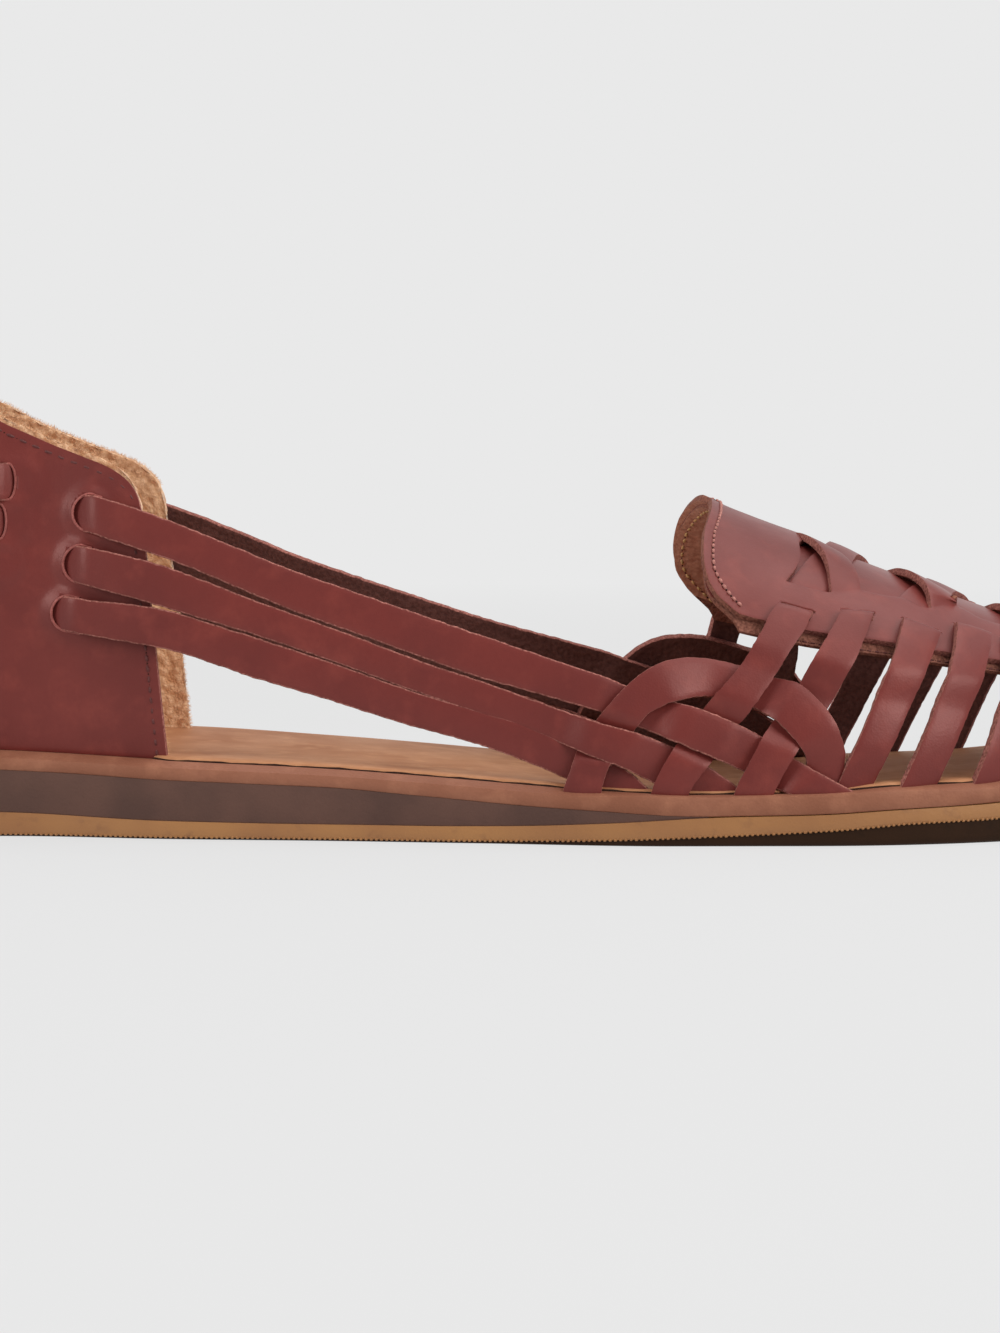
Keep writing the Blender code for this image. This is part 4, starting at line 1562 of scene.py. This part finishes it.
def sheet_faces(rows):
    """Faces of the sheet, but for those inside the window."""
    wide = len(rows[0][0])
    faces = []
    for i in range(len(rows) - 1):
        for j in range(wide - 1):
            inside = SIDE_COLUMNS <= j < wide - 1 - SIDE_COLUMNS
            if not (inside and rows[i][1]):
                a = i * wide + j
                faces.append((a, a + wide, a + wide + 1, a + 1))
    return faces


print("rows and columns of the apron's grid:", len(apron_grid()), len(apron_columns(WINDOW_START)))


# %% Tongues of the braid
def tongue_points(table, shift, edge, lean, breadth):
    """Rows of a tongue that grows out of the window's edge points, given as station and v.
    It leans so that its back edge stands up."""
    knots = [(0.0, *table[0])]
    for row in table[1:]:
        knots.append((knots[-1][0] + abs(row[0] - knots[-1][1]), *row))
    run = knots[-1][0]
    columns = [curve_through(knots, i) for i in (1, 2, 3, 4)]
    steps = round(run * TONGUE_ROWS)
    made = []
    for k in range(1, steps + 1):
        s = run * k / steps
        v, back, front, lift = (column(s) for column in columns)
        hold = 1 - ease(k / ROOT_ROWS)
        row = []
        for j, (edge_station, edge_v) in enumerate(edge):
            a = j / (len(edge) - 1)
            here_v = v + (edge_v - table[0][0]) * hold
            x = back + (front - back) * breadth * a + shift
            edge_x = skin(edge_station, edge_v)[0]
            x += (edge_x - (table[0][1] + (table[0][2] - table[0][1]) * breadth * a + shift)) * hold
            crown = TONGUE_CROWN * (1 - (2 * a - 1) ** 2) * ease(k / CROWN_ROWS)
            upright = ease(k / LEAN_ROWS) * (1 - ease((s / run - 0.55) / 0.3))
            crown += lean * (1 - a) ** 1.5 * upright
            station = station_at(x, here_v)
            row.append(skin(station, here_v, LEDGE - lift - crown))
        made.append(row)
    return made


def tongue_root(rows, column, table, shift):
    """Rows whose points on the window's edge a tongue grows from."""
    root = []
    for i, (row, open_here) in enumerate(rows):
        x = skin(*row[column])[0] - shift
        beside = table[0][1] - ROOT_REACH < x < table[0][2] + ROOT_REACH
        if open_here and beside and abs(row[column][1]) >= EDGE_TURNS:
            root.append(i)
    return root


def add_tongues(points, faces, rows, side, table, count):
    """Grows this many tongues from the window's edge on one side of the sheet."""
    wide = len(rows[0][0])
    column = SIDE_COLUMNS if side == LATERAL else wide - 1 - SIDE_COLUMNS
    for number in range(count):
        shift = BRAID_PITCH * number
        breadth = LAST_BREADTH if number == 2 else 1.0
        root = tongue_root(rows, column, table, shift)
        edge = [rows[i][0][column] for i in root]
        before = [i * wide + column for i in root]
        for row in tongue_points(table, shift, edge, TONGUE_LEAN[side], breadth):
            here = list(range(len(points), len(points) + len(row)))
            points += row
            for j in range(len(row) - 1):
                quad = (before[j], before[j + 1], here[j + 1], here[j])
                faces.append(quad if side == LATERAL else quad[::-1])
            before = here


# %% Slits above the fan, and the apron itself
# How far a slit reaches past its strap, how wide it is and how far below the strap's top it lies
SLIT_BESIDE = 0.2
SLIT_OPEN = 0.45
SLIT_LOW = 0.75
# A slit's cutter reaches from outside the apron to inside it, as insets of the last
SLIT_OUTSIDE, SLIT_INSIDE = -2.0, 4.4
# How far in front of the back edge's lower corner the raw edge goes on
RAW_EDGE_REACH = 1.5
border_suede = make_raw("border_flesh_leather", "#a06a58", "#6a3f34", 0.6, 0.15)
lining_leather = make_raw("lining_leather", "#cc967e", "#a26a55", 0.9, 0.05, 0.75)


def top_slits():
    """Thin slabs that cut a slit at the top of every strap of the fan."""
    points, faces = [], []
    for left_s, left_v, right_s, right_v in fan_tops:
        side = LATERAL if left_v < 0 else MEDIAL
        wide = SLIT_BESIDE / math.dist(skin(left_s, left_v), skin(right_s, right_v))
        first = len(points)
        for u in spread(-wide, 1.0, 8):
            station = left_s + (right_s - left_s) * u
            v = left_v + (right_v - left_v) * u
            per_v = math.dist(skin(station, v), skin(station, v - side * 0.01)) / 0.01
            low, high = SLIT_LOW / per_v, (SLIT_LOW - SLIT_OPEN) / per_v
            for inset, drops in ((SLIT_OUTSIDE, (low, high)), (SLIT_INSIDE, (high, low))):
                points += [skin(station, v + side * drop, inset) for drop in drops]
        faces += slab_faces((len(points) - first) // 4, 4, first, side == LATERAL)
    return make_piece("slit_cutter", points, faces, [cut_edge])


def make_apron():
    """The sheet with its tongues, thick and with its slits cut."""
    rows = apron_grid()
    points = [skin(s, v, LEDGE - apron_swell(s, v)) for row, _ in rows for s, v in row]
    faces = sheet_faces(rows)
    add_tongues(points, faces, rows, LATERAL, NEAR_TONGUE, 3)
    add_tongues(points, faces, rows, MEDIAL, FAR_TONGUE, 2)
    materials = [waxed_leather, lining_leather, cut_edge, border_suede]
    apron = make_piece("apron", points, faces, materials)
    merge_close(apron)
    thicken(apron, APRON_WALL, 0.25)
    for polygon in apron.data.polygons:
        # The cut edge along the back is raw leather, like the border below it
        behind = polygon.center.x / MM < BACK_EDGE[-1][0] + RAW_EDGE_REACH
        if polygon.material_index == 2 and behind:
            polygon.material_index = 3
        # At the window's front end the leather's inner face turns up, and there it has no lining
        if polygon.material_index == 1 and polygon.normal.z > 0.05:
            polygon.material_index = 0
    return cut_away(apron, top_slits())


finish_piece(make_apron(), "upper_leather", "upper")

# %% [markdown]
# ### Under layer
# A thinner layer lies under the apron. It closes the window below the braid, shows past the
# apron's lower edge as a raw border, and is lined inside. It could be a patch just under the
# window, but the border runs right round, so it is a whole sheet that bulges a little inside the
# window.

# %% Under layer
UNDER_LIFT = 0.4
# How far its back edge stays in front of the apron's at the top
UNDER_BACK = 0.35
UNDER_ROWS = 110
UNDER_COLUMNS = 84
BORDER_WIDTH = 0.03


def make_under_layer():
    """The thin layer below the braid, with the lining on its inner face."""
    shares = spread(0.0, 1.0, UNDER_ROWS)
    columns = spread(-BORDER_V, BORDER_V, UNDER_COLUMNS)
    points = []
    for u in shares:
        for v in columns:
            start = apron_start(v, 0.0) + UNDER_BACK * (1 - ease((abs(v) - 0.3) / 0.2))
            station = start + (TOE_TIP - start) * u
            beside = ease((abs(window_v(LATERAL, station)) - abs(v)) / 0.12)
            along = ease((station - WINDOW_START - 4.0) / 4.0) * ease((WINDOW_END - station) / 8.0)
            points.append(skin(station, v, UNDER_INSET - UNDER_LIFT * (beside * along)))
    faces = grid_faces(len(shares), len(columns), 0, True)
    materials = [waxed_leather, lining_leather, border_suede]
    under = make_piece("apron_under_layer", points, faces, materials)
    wide = len(columns) - 1
    for polygon in under.data.polygons:
        if abs(columns[polygon.index % wide]) > APRON_V - BORDER_WIDTH:
            polygon.material_index = 2
    merge_close(under)
    return thicken(under, UNDER_WALL, 0.2)


finish_piece(make_under_layer(), "upper_leather")

# %% [markdown]
# ## Stitches, teeth and nap
# Everything here repeats, so Geometry Nodes lay it out. One tree runs along a path of points
# that carry the direction away from the surface, resamples it to an even pitch, sets one small
# shape on every point and turns it along the path, with a little random tilt and length. The
# same tree lays the thread of the seams, dark spots of painted shade in the holes between the
# stitches, and the outsole's teeth.
# A second tree draws a thin tube along a path, for the pale lip round each slit in the counter:
# partly its raw edge, partly a painted highlight. A third scatters short fibres over the suede.


# %% Helpers of the trees
def start_tree(name, **inputs):
    """An empty tree with named inputs of these kinds, the identifier of each, and its source."""
    tree = bpy.data.node_groups.new(name, "GeometryNodeTree")
    tree.interface.new_socket("Geometry", in_out="OUTPUT", socket_type="NodeSocketGeometry")
    tree.interface.new_socket("Geometry", in_out="INPUT", socket_type="NodeSocketGeometry")
    identifiers = {}
    for label, kind in inputs.items():
        socket_type = f"NodeSocket{kind}"
        socket = tree.interface.new_socket(label, in_out="INPUT", socket_type=socket_type)
        identifiers[label] = socket.identifier
    return tree, identifiers, add_node(tree, "NodeGroupInput").outputs


def end_tree(tree, geometry, material):
    """Makes the copies real and gives them the material that the tree's user picked."""
    real = add_node(tree, "GeometryNodeRealizeInstances", {0: geometry}).outputs[0]
    done = add_node(tree, "GeometryNodeSetMaterial", {"Geometry": real, "Material": material})
    add_node(tree, "NodeGroupOutput", {0: done.outputs[0]})


RANDOM_LOW, RANDOM_HIGH, RANDOM_RESULT = 2, 3, 1


def random_lean(tree, reach, seed):
    """A random angle between minus and plus the reach."""
    back = add_node(tree, "ShaderNodeMath", {0: reach, 1: -1.0}, operation="MULTIPLY")
    between = {RANDOM_LOW: back.outputs[0], RANDOM_HIGH: reach, "Seed": seed}
    drawn = add_node(tree, "FunctionNodeRandomValue", between, data_type="FLOAT")
    return drawn.outputs[RANDOM_RESULT]


def set_copies(tree, source, points, rotation, leans, sizes, scale=None):
    """Sets the picked object on the points, leaning further by these angles about its own axes,
    at a random size between the two sizes, and ends the tree."""
    angles = add_node(tree, "ShaderNodeCombineXYZ", leans).outputs[0]
    lean = add_node(tree, "FunctionNodeEulerToRotation", {0: angles}).outputs[0]
    both = {0: rotation, 1: lean}
    turned = add_node(tree, "FunctionNodeRotateRotation", both, rotation_space="LOCAL")
    between = {RANDOM_LOW: sizes[0], RANDOM_HIGH: sizes[1], "Seed": source["Seed"]}
    drawn = add_node(tree, "FunctionNodeRandomValue", between, data_type="FLOAT")
    size = drawn.outputs[RANDOM_RESULT]
    if scale:
        stretched = {0: scale, "Scale": size}
        size = add_node(tree, "ShaderNodeVectorMath", stretched, operation="SCALE").outputs[0]
    shape = add_node(tree, "GeometryNodeObjectInfo", {"Object": source["Shape"]})
    placed = {"Points": points, "Instance": shape.outputs["Geometry"]}
    placed |= {"Rotation": turned.outputs[0], "Scale": size}
    copies = add_node(tree, "GeometryNodeInstanceOnPoints", placed).outputs[0]
    end_tree(tree, copies, source["Material"])


# %% The three trees
def build_path_tree():
    """Sets the picked object's mesh along the path: x along it, z away from the surface."""
    kinds = {"Pitch": "Float", "Size": "Vector", "Wobble": "Float", "Seed": "Int"}
    kinds |= {"Shape": "Object", "Material": "Material"}
    tree, identifiers, source = start_tree("repeat_along_path", **kinds)
    curve = add_node(tree, "GeometryNodeMeshToCurve", {0: source["Geometry"]}).outputs[0]
    even = {"Curve": curve, "Length": source["Pitch"]}
    path = add_node(tree, "GeometryNodeResampleCurve", even, mode="LENGTH").outputs[0]
    along = add_node(tree, "GeometryNodeInputTangent").outputs[0]
    away = add_node(tree, "GeometryNodeInputNamedAttribute", {0: "away"}, data_type="FLOAT_VECTOR")
    first = add_node(tree, "FunctionNodeAxesToRotation", {0: away.outputs[0], 1: along})
    first.primary_axis, first.secondary_axis = "Z", "X"
    leans = {"Z": random_lean(tree, source["Wobble"], source["Seed"])}
    set_copies(tree, source, path, first.outputs[0], leans, (0.9, 1.1), source["Size"])
    return tree, identifiers


def build_tube_tree():
    """A tube of eight sides along the path."""
    kinds = {"Radius": "Float", "Material": "Material"}
    tree, identifiers, source = start_tree("tube_along_path", **kinds)
    curve = add_node(tree, "GeometryNodeMeshToCurve", {0: source["Geometry"]}).outputs[0]
    round_section = {"Resolution": 8, "Radius": source["Radius"]}
    section = add_node(tree, "GeometryNodeCurvePrimitiveCircle", round_section).outputs[0]
    swept = {"Curve": curve, "Profile Curve": section, "Fill Caps": True}
    tube = add_node(tree, "GeometryNodeCurveToMesh", swept).outputs[0]
    smooth = add_node(tree, "GeometryNodeSetShadeSmooth", {0: tube}).outputs[0]
    end_tree(tree, smooth, source["Material"])
    return tree, identifiers


def build_nap_tree():
    """Fibres scattered over the faces, as many as the attribute nap allows, leaning at random."""
    kinds = {"Density": "Float", "Lean": "Float", "Seed": "Int"}
    kinds |= {"Shape": "Object", "Material": "Material"}
    tree, identifiers, source = start_tree("scatter_nap", **kinds)
    share = add_node(tree, "GeometryNodeInputNamedAttribute", {0: "nap"}, data_type="FLOAT")
    product = {0: share.outputs[0], 1: source["Density"]}
    density = add_node(tree, "ShaderNodeMath", product, operation="MULTIPLY").outputs[0]
    sown = {"Mesh": source["Geometry"], "Density": density, "Seed": source["Seed"]}
    scatter = add_node(tree, "GeometryNodeDistributePointsOnFaces", sown).outputs
    leans = {}
    for axis, step in (("X", 1.0), ("Y", 2.0)):
        seed = add_node(tree, "ShaderNodeMath", {0: source["Seed"], 1: step}, operation="ADD")
        leans[axis] = random_lean(tree, source["Lean"], seed.outputs[0])
    set_copies(tree, source, scatter["Points"], scatter["Rotation"], leans, (0.5, 1.0))
    return tree, identifiers


path_tree = build_path_tree()
tube_tree = build_tube_tree()
nap_tree = build_nap_tree()


def run_tree(obj, built, values):
    """Runs a tree on the object with these inputs and leaves a plain mesh."""
    tree, identifiers = built
    repeat = obj.modifiers.new(tree.name, "NODES")
    repeat.node_group = tree
    for label, value in values.items():
        repeat[identifiers[label]] = value
    return apply_modifiers(obj)


print("trees:", [group.name for group in bpy.data.node_groups])


# %% Shapes that repeat
def ring_solid(name, rows, sides):
    """A closed shape along x. Rows are x, half width in y, half height in z and centre z."""
    points, faces = [(rows[0][0], 0.0, rows[0][3])], []
    for x, wide, high, centre in rows[1:-1]:
        for i in range(sides):
            angle = 2 * math.pi * i / sides
            points.append((x, wide * math.cos(angle), centre + high * math.sin(angle)))
    points.append((rows[-1][0], 0.0, rows[-1][3]))
    last = len(points) - 1
    for i in range(sides):
        j = (i + 1) % sides
        faces.append((0, 1 + j, 1 + i))
        for ring in range(len(rows) - 3):
            a, b = 1 + ring * sides + i, 1 + ring * sides + j
            faces.append((a, b, b + sides, a + sides))
        faces.append((last - sides + i, last - sides + j, last))
    shape = make_piece(name, points, faces, [cut_edge])
    bpy.context.scene.collection.objects.unlink(shape)
    return shape


# One stitch, one millimetre long and one wide, arched so that both ends sink into their holes
stitch_shape = ring_solid(
    "stitch",
    (
        (-0.5, 0, 0, -0.3),
        (-0.42, 0.34, 0.3, -0.12),
        (-0.2, 0.5, 0.5, 0.12),
        (0.2, 0.5, 0.5, 0.12),
        (0.42, 0.34, 0.3, -0.12),
        (0.5, 0, 0, -0.3),
    ),
    8,
)
# A flat dark spot: painted shade inside a needle hole between two stitches
hole_shade_shape = ring_solid(
    "hole", ((-0.5, 0, 0, 0), (-0.3, 0.4, 0.5, 0), (0.3, 0.4, 0.5, 0), (0.5, 0, 0, 0)), 8
)
tooth_shape = ring_solid(
    "tooth", ((-0.5, 0, 0, 0), (-0.32, 0.5, 0.5, 0), (0.32, 0.5, 0.5, 0), (0.5, 0, 0, 0)), 6
)


def path_object(name, points, aways):
    """A chain of edges whose points carry the direction away from the surface."""
    mesh = bpy.data.meshes.new(name)
    edges = [(i, i + 1) for i in range(len(points) - 1)]
    mesh.from_pydata([[c * MM for c in point] for point in points], edges, [])
    mesh.attributes.new("away", "FLOAT_VECTOR", "POINT")
    mesh.attributes["away"].data.foreach_set("vector", [c for away in aways for c in away])
    obj = bpy.data.objects.new(name, mesh)
    bpy.context.scene.collection.objects.link(obj)
    return obj


def skin_path(places, inset):
    """Points on the last for pairs of station and v, and the directions away from it."""
    points = [skin(s, v, inset) for s, v in places]
    aways = []
    for s, v in places:
        here = Vector(skin(s, v, inset))
        along = Vector(skin(s + 0.5, v, inset)) - here
        across = Vector(skin(s, v + 0.004, inset)) - here
        aways.append(along.cross(across).normalized())
    return points, aways


def offset_path(points, aways, lift, along):
    """The same path lifted off the surface, and shifted along itself, in mm."""
    moved = []
    for i, (point, away) in enumerate(zip(points, aways)):
        step = Vector(points[min(i + 1, len(points) - 1)]) - Vector(points[max(i - 1, 0)])
        moved.append(Vector(point) + away * lift + step.normalized() * along)
    return moved


def sew(name, points, aways, pitch, length, width, thread, seed, wobble=0.12, lift=0.0):
    """A row of stitches, and between them a row of flat dark spots, painted shade in the needle
    holes.
    """
    rows = []
    for label, shape, size, material, shift, high in (
        ("thread", stitch_shape, (length, width, width), thread, 0.0, lift),
        ("holes", hole_shade_shape, (width * 0.7, width * 0.7, 0.25), seam_shade_paint, pitch / 2, lift - 0.02),
    ):
        path = path_object(f"{name}_{label}", offset_path(points, aways, high, shift), aways)
        values = {"Pitch": pitch * MM, "Size": size, "Wobble": wobble, "Seed": seed}
        rows.append(run_tree(path, path_tree, values | {"Shape": shape, "Material": material}))
    return rows


print("repeating shapes:", [len(o.data.polygons) for o in (stitch_shape, hole_shade_shape, tooth_shape)])

# %% [markdown]
# ### Seams of the apron
# A pink waxed thread runs along the apron's back edge, a tan one holds the lining inside it, and
# a dark one follows the border under its lower edge. A seam could be a bump in the finish, but
# thread stands up and catches the light, so every stitch is a small arched solid. Between it and
# the next, a flat dark spot paints the shade inside the needle hole.

# %% Sew the apron
APRON_SEAM = 1.75


def apron_edge_places(inside):
    """Points along the apron's back edge, this far inside it, from one lower corner round."""
    places = []
    for v in spread(-APRON_V + 0.028, APRON_V - 0.028, 160):
        places.append((apron_start(v) + inside * (1.0 + 0.9 * ease((abs(v) - 0.45) / 0.1)), v))
    return places


points, aways = skin_path(apron_edge_places(APRON_SEAM), LEDGE - 0.2)
apron_rows = sew("apron_seam", points, aways, 1.5, 1.05, 0.52, apron_thread, 3)
points, aways = skin_path(apron_edge_places(APRON_SEAM - 0.2), UNDER_INSET + UNDER_WALL)
inward = [-away for away in aways]
lining_rows = sew("lining_seam", points, inward, 1.9, 1.35, 0.55, lining_thread, 5)

# The border under the apron's lower edge, on both sides as far as the toe
border_rows = []
for side in (LATERAL, MEDIAL):
    places = [(s, side * (BORDER_V - 0.008)) for s in spread(42.0, TOE_TIP - 1.0, 120)]
    points, aways = skin_path(places, UNDER_INSET)
    border_rows += sew(f"border_seam_{side + 1}", points, aways, 1.5, 1.1, 0.3, counter_thread, 7)

# %% [markdown]
# ### Seams of the counter
# The counter is sewn to its lining along its top and front edges, with thread as dark as the
# leather and pulled tight, so that the stitches lie almost flush. The path takes the slits'
# relief from the same function as the leather, or the thread would sink into their lips.

# %% Sew the counter
COUNTER_SEAM = 1.6
# Station where the seam along the top ends. The seam down the front starts a little below it
# and ends at a z. The front edge itself runs between two others.
TOP_SEAM_END = -69.3
CORNER_GAP = 2.0
FRONT_SEAM_END = 15.5
FRONT_EDGE_Z = (14.6, 59.0)


def counter_seam_places():
    """Station and z of points just inside the counter's top edge, and inside its front edge."""
    top_edge, front_edge = [], []
    for bottom in spread(HEEL_BACK, TOP_SEAM_END, 150):
        height = counter_top_height(bottom) - COUNTER_SEAM
        top_edge.append((counter_top_station(bottom) - 0.3, height))
    corner_z = top_edge[-1][1]
    front_top = counter_top_station(COUNTER_FRONT)
    low, high = FRONT_EDGE_Z
    for u in spread(0.0, 1.0, 60):
        z = corner_z - CORNER_GAP + (FRONT_SEAM_END + CORNER_GAP - corner_z) * u
        share = (z - low) / (high - low)
        station = COUNTER_FRONT + (front_top - COUNTER_FRONT) * share - COUNTER_SEAM - 0.15
        front_edge.append((station, z))
    return top_edge, front_edge


def counter_path(side, places, inset):
    """Points on the counter for pairs of station and z, and the directions away from it."""
    points, aways = [], []
    for station, z in places:
        here = Vector(on_counter(side, station, z, inset - counter_relief(station, z)))
        along = Vector(on_counter(side, station + 0.5, z, inset)) - here
        above = Vector(on_counter(side, station, z + 0.5, inset)) - here
        away = along.cross(above).normalized()
        points.append(here)
        aways.append(away if away.y * side > 0 or abs(away.y) < 0.05 else -away)
    return points, aways


counter_rows = []
top_places, front_places = counter_seam_places()
seams = (("top", top_places, 2.6, 1.9), ("front", front_places, 1.95, 1.5))
for side in (LATERAL, MEDIAL):
    for label, places, pitch, length in seams:
        points, aways = counter_path(side, places, COUNTER_INSET)
        name = f"counter_{label}_{side + 1}"
        thread = {"length": length, "width": 0.5, "thread": counter_thread}
        counter_rows += sew(name, points, aways, pitch, **thread, seed=11, wobble=0.16, lift=-0.12)
print("rows of stitches:", len(apron_rows + lining_rows + border_rows + counter_rows))

# %% [markdown]
# ### Lips of the counter's slits
# The leather stands up in a rounded lip round the end of each slit, paler than the grain: partly
# its raw edge, partly a painted highlight. A bevel could round it, but the edge that a Boolean
# leaves is too uneven for a fine one. A thin tube along the slit's outline, sunk a little more
# than halfway, gives an even lip.

# %% Lips of the counter's slits
LIP_RADIUS = 0.26


def slit_lip(side, slit):
    """A path round the closed end of a slit, along the crest of the leather's lip."""
    places = slit_outline(slit, 24)
    points = []
    for x, z in places[-1:] + places[:-1]:
        points.append(on_counter(side, x, z, COUNTER_INSET - waver(x, z) + LIP_RADIUS * 0.3))
    return path_object("slit_lip", points, [(0.0, 0.0, 1.0)] * len(points))


values = {"Radius": LIP_RADIUS * MM, "Material": burnished_edge}
lips = []
for slit in STRAP_SLITS:
    for side in (LATERAL, MEDIAL):
        lips.append(run_tree(slit_lip(side, slit), tube_tree, values))
finish_piece(join("seams", apron_rows + lining_rows + border_rows + counter_rows, 38), "thread")
finish_piece(join("slit_lips", lips, 38), "upper_leather")

# %% [markdown]
# ### Nap of the suede
# Suede is the split side of a hide, brushed until its fibres stand up. Against the light they
# show along the lining's top and front edges. Hair would be lost in the export, so the fibres
# are slim solids scattered as copies. Real ones are many times finer and denser: these are as
# coarse as they need to be to show.

# %% Nap of the suede
NAP_LENGTH = 0.9
NAP_PER_MM2 = 7.0
NAP_LEAN = 0.7
nap_shape = ring_solid(
    "fibre", ((0.0, 0, 0, 0), (0.05, 0.05, 0.05, 0), (0.6, 0.035, 0.035, 0.02), (1.0, 0, 0, 0.1)), 3
)
for vertex in nap_shape.data.vertices:
    along, across, up = vertex.co
    vertex.co = (up * NAP_LENGTH, across * NAP_LENGTH, along * NAP_LENGTH)


def nap_cover(lining):
    """A copy of the lining that says where fibres stand: at its top and front edges."""
    cover = lining.copy()
    cover.data = lining.data.copy()
    bpy.context.scene.collection.objects.link(cover)
    share = []
    for vertex in cover.data.vertices:
        x, y, z = vertex.co / MM
        share.append(1.0 if x > COUNTER_FRONT - 3.0 or z > counter_top_height(x) - 2.5 else 0.0)
    cover.data.attributes.new("nap", "FLOAT", "POINT")
    cover.data.attributes["nap"].data.foreach_set("value", share)
    return cover


values = {"Density": NAP_PER_MM2 / MM**2, "Lean": NAP_LEAN, "Seed": 8}
nap = run_tree(nap_cover(lining), nap_tree, values | {"Shape": nap_shape, "Material": suede})
nap.name = "suede_nap"
finish_piece(nap, "lining_suede")

# %% [markdown]
# ### Teeth of the outsole
# The teeth along the tread could be cut into the outsole's outline, but the outline would need
# hundreds of points more. Instead a small block is set on the toothed line at every pitch.

# %% Outsole teeth
TOOTH_PITCH = 0.95
TOOTH_SIZE = (0.62, 0.5, 0.42)


def tread_path():
    """The toothed line right round the outsole, and the directions away from it."""
    stations = sole_stations(1.0)
    loop = [(LATERAL, s) for s in stations] + [(MEDIAL, s) for s in reversed(stations[1:-1])]
    loop.append(loop[0])
    points, aways = [], []
    for side, station in loop:
        x, y = outline(side, station, 0.12)
        near_x, near_y = outline(side, station, 1.12)
        points.append(Vector((x, y, twisted(tread_line(x), x, y) + 0.05)))
        aways.append(Vector((x - near_x, y - near_y, 0.0)).normalized())
    return points, aways


points, aways = tread_path()
values = {"Pitch": TOOTH_PITCH * MM, "Size": TOOTH_SIZE, "Wobble": 0.1, "Seed": 4}
values |= {"Shape": tooth_shape, "Material": gum_rubber}
teeth = run_tree(path_object("outsole_teeth", points, aways), path_tree, values)
finish_piece(teeth, "gum_rubber")
for shape in (stitch_shape, hole_shade_shape, tooth_shape, nap_shape):
    bpy.data.objects.remove(shape)
